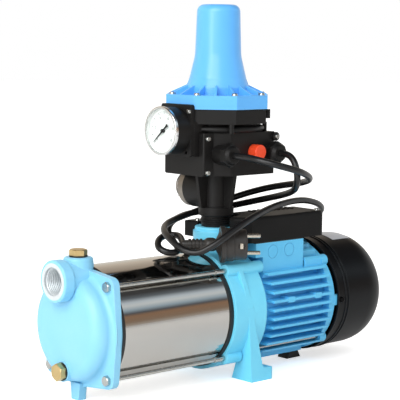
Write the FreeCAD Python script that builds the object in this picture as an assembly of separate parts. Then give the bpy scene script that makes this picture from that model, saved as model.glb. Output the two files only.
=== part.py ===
"""Horizontal multistage booster pump with a pressure controller on its discharge.

Sizes are in millimetres. X runs from the suction end to the fan end, Z is up, and the origin is
the middle of the two foot bolts on the floor.
"""
import FreeCAD, Part

import math
import os

V = FreeCAD.Vector
UNIT = {"X": V(1, 0, 0), "Y": V(0, 1, 0), "Z": V(0, 0, 1)}

# Fits and clearances
SCREW_FIT = 0.1          # radial, screws and plugs in their holes
RUN_FIT = 0.05           # radial, shaft in its bearings and buttons in their guides
ROTOR_GAP = 0.4          # between turning and standing pieces
BODY_GAP = 0.3           # between pieces that slide past each other

# Pump centre line and the stack that the tie bolts clamp
SHAFT_Z = 78.0
TIE_HALF = 49.0
TIE_R = 2.4
TIE_THREAD_R = 3.0
TIE_THREAD_LENGTH = 36.0
TIE_GRIP = 21.0
TIE_HEAD_AF = 10.0
TIE_HEAD = 4.2
SLEEVE_R = 64.0
SLEEVE_WALL = 1.5
SLEEVE_LENGTH = 148.0
HEAD_GASKET = 3.0
BODY_GASKET = 5.0
GASKET_LIP = 1.2
GASKET_WIDTH = 7.2
FLANGE_THICK = 8.0
ADAPTER_LENGTH = 47.0
FEET_TO_MOTOR = 4.0

X_MOTOR = -FEET_TO_MOTOR
X_ADAPTER = X_MOTOR - ADAPTER_LENGTH
X_SLEEVE_END = X_ADAPTER - BODY_GASKET
X_SLEEVE = X_SLEEVE_END - SLEEVE_LENGTH
X_FLANGE = X_SLEEVE - HEAD_GASKET
X_HEAD = X_FLANGE - FLANGE_THICK

# Pump head casting
HEAD_RIM_R = 63.5
HEAD_EAR_R = 9.5
DOME_R = 57.0
DOME_DEPTH = 20.0
DOME_EDGE = 14.0
HEAD_WALL = 5.0
SUCTION_RISE = 51.5
SUCTION_REACH = 34.0
SUCTION_R = 22.5
SUCTION_COLLAR = 12.0
NECK_R = 20.0
PORT_R = 15.15           # minor radius of the one-inch pipe thread
PORT_DEPTH = 27.0
FILLER_RISE = 75.0
FILLER_R = 15.5
FILLER_BASE_R = 19.0
FILLER_BASE_RISE = 40.0
FILLER_BORE_R = 7.0
FILLER_CHANNEL_R = 5.4
FILLER_THREAD = 13.0
DRAIN_DROP = 45.0
DRAIN_R = 11.0
DRAIN_BORE_R = 6.5
DRAIN_PROUD = 2.0
PLUG_AF = 17.0
PLUG_HEAD = 6.5
PLUG_SHANK = 7.0
WASHER = 1.5
HEAD_FOOT = 12.0

# Adapter casting between the pump and the motor
RING_R = 69.0
CHAMBER_R = SLEEVE_R - 2.0
BACK_WALL = 8.0
TIE_BOSS_R = 7.0
TIE_BOSS_PAST = 6.0
LOW_BOSS_LENGTH = 22.0
DISCHARGE_X = -20.0
DISCHARGE_RISE = 92.0
DISCHARGE_R = 24.0
DISCHARGE_BASE_R = 26.0
DISCHARGE_FLOOR = 29.0
SPIGOT_R = 16.55
LEG_OUT = 67.0
LEG_IN = 34.0
TOE_END = 12.0
TOE_TALL = 14.0
FOOT_HOLE_R = 4.5
FOOT_HOLE_Y = 50.5

# Shaft, seal and bearings
SHAFT_R = 8.5
PUMP_SHAFT_R = 6.0
FAN_SHAFT_R = 7.0
BEARING_R = 20.0
BEARING_WIDTH = 12.0
BEARING_SETBACK = 2.5
HUB_R = 25.0
SEAL_R = 14.0
SEAL_SEAT = 5.0
SEAL_LENGTH = 17.0

# Stages
STAGES = 4
STAGE_WALL = 2.0
STAGE_R = SLEEVE_R - SLEEVE_WALL - SCREW_FIT
RETURN_GAP = 5.4
GUIDE_OUTER_R = STAGE_R - STAGE_WALL - RETURN_GAP
EYE_R = 20.0
TIP_GAP = 3.0
IMPELLER_R = GUIDE_OUTER_R - TIP_GAP
IMPELLER_INSET = 3.4
PASSAGE = 6.0
SHROUD = 1.8
STAGE_HUB_R = 9.5
IMPELLER_VANES = 6
GUIDE_VANES = 7

# Motor
CORE_R = 56.0
BORE_R = 50.0
FRAME_LENGTH = 106.0
FIN_START = 7.5
FIN_PITCH = 10.05
FIN = 3.0
SIDE_FIN_R = 71.0
SIDE_FIN_HALF = 69.5
LOW_FIN_R = 69.0
TOP_FIN_R = 71.5
TOP_FIN_START = 75.0
PEDESTAL_HALF = 49.5
PEDESTAL_END = 73.0
PEDESTAL_RISE = 75.0
PEDESTAL_SIDE = 35.0
PEDESTAL_LIP = 16.0
POCKET_DEPTH = 15.0
NOTCH_R = 27.5
FRAME_BOLT_HALF = 45.5
FRAME_BOLT_R = 2.5
SHIELD_THICK = 10.0
SHIELD_R = 66.0
LUG_R = 7.0
PAD = 12.0
COVER_R = 68.0
COVER_WALL = 1.5
COVER_LENGTH = 90.5
COVER_GAP = 2.5
COVER_NOSE = 34.0
COVER_FLAT_R = 45.0
COVER_SCREW = 6.0
COVER_SCREW_R = 3.6
COVER_BEADS = (12.5, 17.5)
FAN_R = 58.0
FAN_BLADES = 8
STATOR_START = 22.0
STATOR_LENGTH = 60.0
WINDING = 10.0
ROTOR_R = 30.0

# Terminal box
BOX_FRONT = -24.0
BOX_END = 111.0
BOX_HALF = 49.0
BOX_TALL = 30.0
BOX_LOW = 19.0
BOX_STEP_Y = 5.0
BOX_WALL = 2.2
BOX_NOTCH_R = 27.0
BOX_CORNER = 10.0
BOX_CHAMFER = 14.0
BOX_ROUND = 4.0
BOX_LOW_ROUND = 1.5
BOX_GASKET = 1.0
GRIPS = 9
GRIP = 3.0
GRIP_PITCH = 7.5
GRIP_START = 30.0
GRIP_TALL = 1.0
GRIP_LENGTH = 13.0
GRIP_END = 5.0
LEAD_GLAND_Y = 27.0
LEAD_GLAND_RISE = 9.5
LEAD_GLAND_AF = 15.0
LEAD_GLAND = 11.0
CAPACITOR_R = 17.5

X_SHIELD = X_MOTOR + FRAME_LENGTH
X_COVER = X_SHIELD + SHIELD_THICK + COVER_GAP
X_GRILLE = X_COVER + COVER_LENGTH
X_BACK_WALL = X_MOTOR - BACK_WALL
X_REAR_BEARING = X_SHIELD - BEARING_SETBACK
Z_OUTLET = SHAFT_Z + DISCHARGE_RISE
Z_SUCTION = SHAFT_Z + SUCTION_RISE
Z_FILLER = SHAFT_Z + FILLER_RISE
Z_DRAIN = SHAFT_Z - DRAIN_DROP
Z_BOX = SHAFT_Z + PEDESTAL_RISE

# Pressure controller, measured from its own axis and the rim of the discharge boss
SPIGOT_DEPTH = 20.0
COLLAR_Z = 12.5
COLLAR_R = 20.0
COLLAR = 10.0
COLUMN_R = 15.5
WATER_R = 12.5
SIDE_WATER_R = 12.0
SEAT_R = 10.0
SEAT_Z = 16.0
BODY_Z = 61.0
BODY_TALL = 47.6
BODY_HALF = 45.0
GROOVE = 10.0
GROOVE_R = 43.0
BAND = 16.2
BAND_AF = 110.0
RIB_TOP_R = 31.0
RIB_FOOT_R = 24.5
RIB = 4.0
SIDE_PORT_Z = 42.0
SIDE_PORT_R = 23.0
SIDE_PORT_REACH = 33.0
INSERT_R = 22.5
INSERT_SLEEVE_R = 18.5
INSERT_LIP = 9.0
INSERT_DEPTH = 16.0
FRONT_X = -50.0
FRONT_SEAM = -36.0
FRONT_HALF = 33.0
FRONT_WALL = 3.0
BOARD_X = -29.4
BOARD = 1.6
SPRING_AF = 113.0
SPRING_FLANGE = 15.2
SPRING_TALL = 115.2
DIAPHRAGM_R = 46.0
DIAPHRAGM = 2.0
SPRING_BORE_R = 20.0
SPRING_R = 15.0
PLATE_R = 18.0
PLATE = 3.0
GUSSETS = 16
HOUSING_SCREW_R = 54.0
GAUGE_Z = 111.0
GAUGE_R = 26.0
GAUGE_BACK = -62.0
GAUGE_DEPTH = 21.0
GAUGE_RIM = 2.0
GAUGE_WALL = 1.6
GAUGE_POCKET_R = GAUGE_R - GAUGE_WALL
GAUGE_POCKET = 5.0
GAUGE_CRIMP = 3.5
GAUGE_PLATE = 5.0
GAUGE_SCREW_Y = -21.6
GAUGE_SCREW_RISE = 21.5
POINTER_REST = -41.0
GLAND_1_X = -27.0
GLAND_2_X = 42.0
GLAND_Z = 85.0
GLAND_BOSS_R = 11.5
GLAND_AF = 23.0
GLAND_NUT = 11.0
GLAND_1_BOSS = 14.0
GLAND_2_BOSS = 5.0
BUTTON_X = 14.5
BUTTON_Z = 87.0
BUTTON_R = 8.3
BUTTON_PROUD = 12.0
BUTTON_GUIDE = 12.0
BUTTON_TRAVEL = 3.0

EAR_R = 5.0
EAR_SCREW_R = 3.0
EAR_REACH = 48.0
EAR_X = 47.0
COVER_ROUND = 4.0

Z_GROOVE = BODY_Z + BODY_TALL
EAR_Z = Z_GROOVE - 5.6
Z_BAND = Z_GROOVE + GROOVE
Z_SPRING = Z_BAND + BAND

# Mains plug: place of its flange and the way that its pins point
PLUG_AT = V(-51.0, -45.0, 156.3)
PLUG_TURN = -36.87
PLUG_FLANGE_R = 20.5
PLUG_BODY_R = 17.0
PLUG_BODY = 26.0
PLUG_TAIL = 43.0
PLUG_TAIL_R = 5.2
PLUG_RIBS = 38.0
PLUG_RIB_R = 6.4
PLUG_BALL_R = 7.6
PLUG_STEP_R = 18.6
EARTH_R = 4.0
EARTH_X = 19.5
EARTH_DEEP = 3.0
PIN_R = 2.4
PIN_LENGTH = 16.0
PIN_HALF = 9.5

# Leads: radius and hand-chosen routes
LEAD_R = 3.7
MOTOR_LEAD = [
    (-47, -58, 255), (-47, -75, 255), (-44.5, -94, 252.5), (-32, -111, 247.5), (-8, -118, 241),
    (17, -109, 233.5), (38, -91, 226.5), (50, -67, 220.5), (52, -40, 216), (46, -14, 210.5),
    (32, 10, 202), (9, 28, 191.5), (-18, 37, 182.5), (-45, 39, 176.5), (-75.1, 26, 172.8),
    (-95.6, 3, 168.1), (-102.6, -19, 161.6), (-101.1, -34, 153.4), (-93.5, -50, 150.2),
    (-82.1, -63, 159.5), (-63.8, -70, 172.3), (-35.5, -67, 183.5), (-2.2, -58, 190.9),
    (33.1, -48, 195.1), (65.8, -40, 196.7), (92.8, -35, 195), (121, -29, 188), (140, -16, 178.5),
    (148, 1, 171), (146, 15, 165.5), (139, 23.5, 163), (131, 27, 162.5), (122, 27, 162.5),
]
MAINS_LEAD = [
    (22, -61, 255), (22, -72, 255), (21.5, -82, 248), (21, -87, 237), (23, -86, 225.5), (29, -78, 216),
    (37.5, -61, 209.5), (43, -38, 203.5), (42, -13, 197.5), (33, 11, 191), (17, 31, 185), (-3, 44, 181),
    (-26, 51, 178), (-50, 46, 170.5), (-66, 31, 161), (-65.2, 17.9, 151.3), (-82.8, -8.6, 147.1),
    (-96.3, -7.7, 146), (-102.9, 2.5, 150.3), (-97.4, 12.1, 156.7), (-83.2, 19.5, 161.4),
    (-72.2, 14.4, 162.4), (-69.5, 3.1, 161.7), (-86.2, -18.6, 156.3),
]


def at(axis, along, a=0.0, b=0.0):
    """Point on a line along an axis; a and b are the line's other two coordinates, in order."""
    return {"X": V(along, a, b), "Y": V(a, along, b), "Z": V(a, b, along)}[axis]


def rod(axis, radius, start, end, a=0.0, b=0.0):
    """Round bar from start to end."""
    return Part.makeCylinder(radius, end - start, at(axis, start, a, b), UNIT[axis])


def tube(axis, outer, inner, start, end, a=0.0, b=0.0):
    """Round tube from start to end."""
    return rod(axis, outer, start, end, a, b).cut(rod(axis, inner, start, end, a, b))


def block(x, y, z):
    """Box between pairs of limits."""
    return Part.makeBox(x[1] - x[0], y[1] - y[0], z[1] - z[0], V(x[0], y[0], z[0]))


def outline(points, place):
    """Closed wire through (u, v) or (u, v, radius) points; a radius rounds that corner."""
    edges = []
    corners = []
    count = len(points)
    for index, point in enumerate(points):
        u, v = point[0], point[1]
        radius = point[2] if len(point) > 2 else 0.0
        before, after = points[index - 1], points[(index + 1) % count]
        back = V(u - before[0], v - before[1], 0).normalize()
        ahead = V(after[0] - u, after[1] - v, 0).normalize()
        here = V(u, v, 0)
        if not radius:
            corners.append((here, None, here))
            continue
        turn = back.getAngle(ahead)
        reach = radius * math.tan(turn / 2)
        inward = (ahead - back).normalize()
        middle = here + inward * (radius / math.cos(turn / 2) - radius)
        corners.append((here - back * reach, middle, here + ahead * reach))
    for index, (start, middle, end) in enumerate(corners):
        if middle:
            arc = Part.Arc(place(start.x, start.y), place(middle.x, middle.y), place(end.x, end.y))
            edges.append(arc.toShape())
        following = corners[(index + 1) % count][0]
        if end.distanceToPoint(following) > 1e-6:
            line = Part.LineSegment(place(end.x, end.y), place(following.x, following.y))
            edges.append(line.toShape())
    return Part.Wire(edges)


def prism(points, axis, start, end):
    """Outline in the plane across an axis, drawn out from start to end."""
    wire = outline(points, lambda u, v: at(axis, start, u, v))
    return Part.Face(wire).extrude(UNIT[axis] * (end - start))


def turned(points, axis, a=0.0, b=0.0):
    """Solid of revolution; points are (along, radius) or (along, radius, corner radius)."""
    wire = outline(points, lambda along, radius: at(axis, along, a + radius, b))
    return Part.Face(wire).revolve(at(axis, 0, a, b), UNIT[axis], 360)


def regular(sides, across, turn=0.0, a=0.0, b=0.0):
    """Corners of a regular polygon given its width across flats."""
    corner = across / 2 / math.cos(math.pi / sides)
    angles = [math.radians(turn) + math.tau * (step + 0.5) / sides for step in range(sides)]
    return [(a + corner * math.cos(angle), b + corner * math.sin(angle)) for angle in angles]


def hexagon(axis, across, start, end, a=0.0, b=0.0):
    """Hexagon bar."""
    return prism(regular(6, across, 0.0, a, b), axis, start, end)


def bevelled_hexagon(axis, across, seat, tip, a=0.0, b=0.0):
    """Hexagon head whose corners are bevelled at the tip; the tip may lie on either side."""
    corner = across / math.sqrt(3)
    step = 1.0 if tip > seat else -1.0
    bevel = turned([(seat, 0), (seat, corner + 0.5), (tip - step * 1.2, corner + 0.5),
                    (tip, across / 2 * 0.94), (tip, 0)], axis, a, b)
    return hexagon(axis, across, min(seat, tip), max(seat, tip), a, b).common(bevel)


def square(half):
    """The four corners of a square about the shaft, as (y, z) from its centre."""
    return [(half, half), (-half, half), (-half, -half), (half, -half)]


def around(shape, axis, count, a=0.0, b=0.0):
    """Copies of a shape spaced evenly round an axis."""
    copies = []
    for step in range(count):
        copy = shape.copy()
        copy.rotate(at(axis, 0, a, b), UNIT[axis], 360.0 * step / count)
        copies.append(copy)
    return copies


def on_outlet(shape):
    """Moves a controller piece from its own axis onto the discharge boss."""
    return shape.translated(V(DISCHARGE_X, 0, Z_OUTLET))


def write(name, *solids):
    """Writes one sub-part."""
    shape = solids[0] if len(solids) == 1 else Part.makeCompound(list(solids))
    shape.exportStep(f"parts/{name}.step")


def pan_screw(axis, seat, out, radius, length, a, b):
    """Domed screw with a cross recess; out is +1 or -1, the way that its head faces."""
    top = seat + out * radius * 0.75
    head = turned([(seat, 0), (seat, radius), (top, radius * 0.8, radius * 0.3), (top, 0)], axis, a, b)
    shank = rod(axis, radius * 0.5, min(seat, seat - out * length), max(seat, seat - out * length), a, b)
    low, high = sorted((top - out * radius * 0.35, top + out))
    half = radius * 0.55
    arms = [(half, radius * 0.12), (radius * 0.12, half)]
    slots = [prism([(a - p, b - q), (a + p, b - q), (a + p, b + q), (a - p, b + q)], axis, low, high)
             for p, q in arms]
    return head.fuse(shank).cut(slots)


def eared_plate(radius, ear, start, end):
    """Round plate with an ear at each tie bolt, joined to the rim by common tangents."""
    spread = math.acos((radius - ear) / math.hypot(TIE_HALF, TIE_HALF))
    pieces = []
    for y, z in square(TIE_HALF):
        middle = math.atan2(z, y)
        low, high = middle - spread, middle + spread
        web = [(radius * math.cos(low), radius * math.sin(low)),
               (y + ear * math.cos(low), z + ear * math.sin(low)),
               (y + ear * math.cos(high), z + ear * math.sin(high)),
               (radius * math.cos(high), radius * math.sin(high))]
        pieces.append(prism([(u, v + SHAFT_Z) for u, v in web], "X", start, end))
        pieces.append(rod("X", ear, start, end, y, z + SHAFT_Z))
    return rod("X", radius, start, end, 0, SHAFT_Z).fuse(pieces)


def pump_head():
    """Domed suction casting with its suction, filler and drain bosses and a stub foot."""
    rim = HEAD_RIM_R
    dome_x = X_HEAD - DOME_DEPTH
    face = X_HEAD - SUCTION_REACH
    filler_x = X_HEAD - 1.0
    dome = turned([(X_HEAD + 1, 0), (X_HEAD + 1, DOME_R + 7), (X_HEAD, DOME_R + 7), (X_HEAD, DOME_R, 6),
                   (dome_x, DOME_R, DOME_EDGE), (dome_x, 0)], "X", 0, SHAFT_Z)
    collar = turned([(face, 0), (face, SUCTION_R, 1.5), (face + SUCTION_COLLAR, SUCTION_R, 1.5),
                     (face + SUCTION_COLLAR + 2, NECK_R), (X_HEAD + 4, NECK_R), (X_HEAD + 4, 0)],
                    "X", 0, Z_SUCTION)
    base = SHAFT_Z + FILLER_BASE_RISE
    filler = turned([(base, 0), (base, FILLER_BASE_R), (Z_FILLER, FILLER_R, 3), (Z_FILLER, 0)],
                    "Z", filler_x, 0)
    drain = rod("X", DRAIN_R, X_HEAD - DOME_DEPTH - DRAIN_PROUD, X_HEAD, 0, Z_DRAIN)
    foot_top = SHAFT_Z - rim + 4
    foot = prism([(-6, 0), (6, 0), (8, foot_top), (-8, foot_top)], "X", X_FLANGE - 3 - HEAD_FOOT + 2,
                 X_FLANGE - 3)
    body = eared_plate(rim, HEAD_EAR_R, X_HEAD, X_FLANGE).fuse([dome, collar, filler, drain, foot])
    cavity_r = DOME_R - HEAD_WALL
    cavity = turned([(X_FLANGE + 1, 0), (X_FLANGE + 1, cavity_r), (dome_x + HEAD_WALL, cavity_r, 9),
                     (dome_x + HEAD_WALL, 0)], "X", 0, SHAFT_Z)
    cuts = [cavity,
            rod("X", PORT_R, face, face + PORT_DEPTH, 0, Z_SUCTION),
            rod("Z", FILLER_BORE_R, Z_FILLER - FILLER_THREAD, Z_FILLER, filler_x, 0),
            rod("Z", FILLER_CHANNEL_R, Z_SUCTION - 8, Z_FILLER - FILLER_THREAD, filler_x, 0),
            rod("X", DRAIN_BORE_R, X_HEAD - DOME_DEPTH - DRAIN_PROUD, dome_x + HEAD_WALL + 1, 0, Z_DRAIN),
            rod("X", SLEEVE_R + GASKET_LIP + BODY_GAP, X_FLANGE, X_FLANGE + 20, 0, SHAFT_Z)]
    cuts += [rod("X", TIE_THREAD_R + SCREW_FIT, X_HEAD, X_FLANGE, y, z + SHAFT_Z)
             for y, z in square(TIE_HALF)]
    return body.cut(cuts).removeSplitter()


def hex_plug(axis, seat, out, bore, a, b):
    """Hexagon pipe plug on a washer; out is the way that its head faces."""
    head = seat + out * WASHER
    tip = head + out * PLUG_HEAD
    inside = seat - out * PLUG_SHANK
    shank = rod(axis, bore - SCREW_FIT, min(head, inside), max(head, inside), a, b)
    return bevelled_hexagon(axis, PLUG_AF, head, tip, a, b).fuse(shank).removeSplitter()


def plug_washer(axis, seat, out, bore, a, b):
    """Sealing washer under a pipe plug."""
    edge = seat + out * WASHER
    return tube(axis, PLUG_AF / 2 + 1.2, bore, min(seat, edge), max(seat, edge), a, b)


def plugs_and_seals():
    """Filler and drain plugs, each with its washer."""
    filler = ("Z", Z_FILLER, 1, FILLER_BORE_R, X_HEAD - 1.0, 0)
    drain = ("X", X_HEAD - DOME_DEPTH - DRAIN_PROUD, -1, DRAIN_BORE_R, 0, Z_DRAIN)
    write("filler_plug", hex_plug(*filler))
    write("drain_plug", hex_plug(*drain))
    write("plug_seals", plug_washer(*filler), plug_washer(*drain))


def gasket(start, thick):
    """Flat ring that seals an end of the sleeve."""
    outer = SLEEVE_R + GASKET_LIP
    return tube("X", outer, outer - GASKET_WIDTH, start, start + thick, 0, SHAFT_Z)


def sleeve():
    """Polished stainless barrel."""
    return tube("X", SLEEVE_R, SLEEVE_R - SLEEVE_WALL, X_SLEEVE, X_SLEEVE_END, 0, SHAFT_Z)


def tie_bolt(y, z):
    """Long hexagon bolt from the head flange into the adapter."""
    thread_end = X_ADAPTER + TIE_GRIP
    thread = rod("X", TIE_THREAD_R, thread_end - TIE_THREAD_LENGTH, thread_end, y, z)
    shank = rod("X", TIE_R, X_HEAD, thread_end - TIE_THREAD_LENGTH, y, z)
    return bevelled_hexagon("X", TIE_HEAD_AF, X_HEAD, X_HEAD - TIE_HEAD, y, z).fuse([shank, thread])


def leg(side):
    """Tapering leg of the adapter with its toe; side is -1 or +1."""
    top = SHAFT_Z + TIE_HALF
    profile = prism([(-24, 0), (TOE_END, 0), (TOE_END, TOE_TALL, 5), (-7, TOE_TALL + 1, 5), (-20, 60, 20),
                     (-30, top - 10), (-30, top), (-36, top), (-36, top - 10), (-28, 40, 40)],
                    "Y", -LEG_OUT - 5, LEG_OUT + 5)
    edge = [(LEG_IN, 0), (LEG_OUT, 0), (RING_R, SHAFT_Z - 8), (RING_R, SHAFT_Z + 8), (RING_R - 6, top - 16),
            (TIE_HALF + TIE_BOSS_R, top), (TIE_HALF, top), (TIE_HALF, SHAFT_Z - 43)]
    front = prism([(side * y, z) for y, z in edge], "X", -60, 40)
    toe = [(-60, LEG_IN, 0), (TOE_END, LEG_IN, 8), (TOE_END, LEG_OUT, 8), (-60, LEG_OUT + 4, 0)]
    plan = prism([(x, side * y, radius) for x, y, radius in toe], "Z", 0, top + 1)
    return profile.common(front).common(plan)


def adapter_casting():
    """Discharge chamber, bearing hub, discharge boss, tie-bolt bosses and the two legs."""
    ring = rod("X", RING_R, X_ADAPTER, X_MOTOR, 0, SHAFT_Z)
    boss_foot = SHAFT_Z + CORE_R + 1.5
    boss = rod("Z", DISCHARGE_BASE_R, boss_foot, Z_OUTLET - 5, DISCHARGE_X)
    rim = turned([(boss_foot, 0), (boss_foot, DISCHARGE_R), (Z_OUTLET, DISCHARGE_R, 1.5), (Z_OUTLET, 0)],
                 "Z", DISCHARGE_X)
    hub = rod("X", HUB_R, X_MOTOR - 1, X_MOTOR + BEARING_WIDTH, 0, SHAFT_Z)
    register = tube("X", BORE_R - SCREW_FIT, BORE_R - 5, X_MOTOR - 1, X_MOTOR + 4, 0, SHAFT_Z)
    pieces = [boss, rim, hub, register, leg(-1), leg(1)]
    for y, z in square(TIE_HALF):
        end = X_MOTOR + TIE_BOSS_PAST if z > 0 else X_ADAPTER + LOW_BOSS_LENGTH
        pieces.append(rod("X", TIE_BOSS_R, X_ADAPTER, end, y, SHAFT_Z + z))
    body = ring.fuse(pieces)
    floor = Z_OUTLET - DISCHARGE_FLOOR
    cuts = [rod("X", CHAMBER_R, X_ADAPTER, X_BACK_WALL, 0, SHAFT_Z),
            rod("Z", SPIGOT_R + SCREW_FIT, floor, Z_OUTLET, DISCHARGE_X),
            rod("Z", WATER_R, SHAFT_Z + BORE_R, floor, DISCHARGE_X),
            rod("X", BEARING_R, X_MOTOR, X_MOTOR + BEARING_WIDTH, 0, SHAFT_Z),
            rod("X", SHAFT_R + 1, X_BACK_WALL, X_MOTOR, 0, SHAFT_Z),
            rod("X", SEAL_R, X_BACK_WALL, X_BACK_WALL + SEAL_SEAT, 0, SHAFT_Z)]
    for side in (-1, 1):
        cuts.append(rod("Z", FOOT_HOLE_R, 0, TOE_TALL + 6, 0, side * FOOT_HOLE_Y))
    for y, z in square(TIE_HALF):
        cuts.append(rod("X", TIE_THREAD_R, X_ADAPTER, X_ADAPTER + TIE_GRIP, y, SHAFT_Z + z))
    for y, z in square(FRAME_BOLT_HALF):
        cuts.append(rod("X", FRAME_BOLT_R, X_MOTOR - 12, X_MOTOR + TIE_BOSS_PAST, y, SHAFT_Z + z))
    return body.cut(cuts).removeSplitter()


def curved_vane(inner, outer, sweep, thick, start, end):
    """Backward-swept vane between two radii."""
    def point(radius, angle):
        return V(start, radius * math.cos(angle), SHAFT_Z + radius * math.sin(angle))

    middle = (inner + outer) / 2
    half = thick / 2
    faces = []
    for side in (-1, 1):
        faces.append([point(inner, side * half / inner), point(middle, sweep * 0.6 + side * half / middle),
                      point(outer, sweep + side * half / outer)])
    low, high = faces
    wire = Part.Wire([Part.Arc(*low).toShape(), Part.LineSegment(low[2], high[2]).toShape(),
                      Part.Arc(high[2], high[1], high[0]).toShape(),
                      Part.LineSegment(high[0], low[0]).toShape()])
    return Part.Face(wire).extrude(V(end - start, 0, 0))


def stage_start(index):
    """Suction face of one stage."""
    return X_SLEEVE + index * SLEEVE_LENGTH / STAGES


def diffuser(index):
    """Stage casing: suction wall with the eye, outer wall, return wall and guide vanes."""
    start = stage_start(index)
    end = start + SLEEVE_LENGTH / STAGES
    inner = STAGE_R - STAGE_WALL
    back = start + IMPELLER_INSET + PASSAGE + 2 * SHROUD + 2.0
    shell = turned([(start, EYE_R), (start, STAGE_R), (end, STAGE_R), (end, inner),
                    (start + STAGE_WALL, inner, 4), (start + STAGE_WALL, EYE_R)], "X", 0, SHAFT_Z)
    plate = tube("X", GUIDE_OUTER_R, STAGE_HUB_R + ROTOR_GAP, back, back + STAGE_WALL, 0, SHAFT_Z)
    vane = curved_vane(STAGE_HUB_R + 14, inner + 0.5, 0.9, 2.0, back, end)
    return shell.fuse([plate] + around(vane, "X", GUIDE_VANES, 0, SHAFT_Z)).removeSplitter()


def impeller(index):
    """Closed impeller: eye ring, front shroud, swept vanes, back shroud and spacer hub."""
    start = stage_start(index)
    front = start + IMPELLER_INSET
    vanes = front + SHROUD
    back = vanes + PASSAGE
    end = start + SLEEVE_LENGTH / STAGES
    eye = EYE_R - ROTOR_GAP
    shroud = turned([(start + 0.6, eye - SHROUD), (start + 0.6, eye), (front, eye), (front, IMPELLER_R),
                     (vanes, IMPELLER_R), (vanes, eye - SHROUD)], "X", 0, SHAFT_Z)
    disc = tube("X", IMPELLER_R, PUMP_SHAFT_R, back, back + SHROUD, 0, SHAFT_Z)
    hub = tube("X", STAGE_HUB_R, PUMP_SHAFT_R, start + 0.6, end, 0, SHAFT_Z)
    vane = curved_vane(eye - SHROUD + 0.5, IMPELLER_R - 0.5, 1.1, 2.0, vanes - 0.2, back + 0.2)
    swept = around(vane, "X", IMPELLER_VANES, 0, SHAFT_Z)
    return shroud.fuse([disc, hub] + swept).removeSplitter()


def shaft():
    """Stepped shaft from the first impeller's nut to the fan."""
    seal_start = X_BACK_WALL - SEAL_LENGTH
    fan_seat = X_SHIELD + SHIELD_THICK
    nut = X_SLEEVE + 0.6
    front = X_MOTOR + BEARING_WIDTH + BODY_GAP
    rear = X_REAR_BEARING - BODY_GAP
    return turned([(nut - 7, 0), (nut - 7, 9, 1), (nut, 9), (nut, PUMP_SHAFT_R),
                   (seal_start, PUMP_SHAFT_R), (seal_start, SHAFT_R),
                   (front, SHAFT_R), (front, SHAFT_R + 1.5), (rear, SHAFT_R + 1.5), (rear, SHAFT_R),
                   (fan_seat, SHAFT_R), (fan_seat, FAN_SHAFT_R),
                   (fan_seat + 38, FAN_SHAFT_R, 1), (fan_seat + 38, 0)], "X", 0, SHAFT_Z)


def seal_rotor():
    """Turning half of the shaft seal."""
    face = X_BACK_WALL - BODY_GAP
    return turned([(X_BACK_WALL - SEAL_LENGTH, SHAFT_R), (X_BACK_WALL - SEAL_LENGTH, SEAL_R + 1),
                   (face - 6, SEAL_R + 1, 1), (face - 6, SEAL_R - 1), (face, SEAL_R - 1), (face, SHAFT_R)],
                  "X", 0, SHAFT_Z)


def bearing(start):
    """Ball bearing with its shields, one piece."""
    outer, inner = BEARING_R, SHAFT_R + RUN_FIT
    end = start + BEARING_WIDTH
    return turned([(start, inner), (start, inner + 3), (start + 0.8, inner + 3), (start + 0.8, outer - 3),
                   (start, outer - 3), (start, outer, 0.8), (end, outer, 0.8), (end, outer - 3),
                   (end - 0.8, outer - 3), (end - 0.8, inner + 3), (end, inner + 3), (end, inner)],
                  "X", 0, SHAFT_Z)


def pedestal():
    """Flat seat for the terminal box, with a notch round the discharge boss."""
    low = SHAFT_Z + PEDESTAL_SIDE
    lip = Z_BOX - PEDESTAL_LIP
    y = (-PEDESTAL_HALF, PEDESTAL_HALF)
    seat = block((FIN_START, PEDESTAL_END), y, (low, Z_BOX))
    return seat.fuse(block((X_MOTOR + 0.3, FIN_START), y, (lip, Z_BOX)))


def knock_out(x, z):
    """Ring groove of a blanked cable entry on the pedestal's side."""
    return tube("Y", 8.0, 7.2, -PEDESTAL_HALF, -PEDESTAL_HALF + 0.6, x, z)


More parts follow.
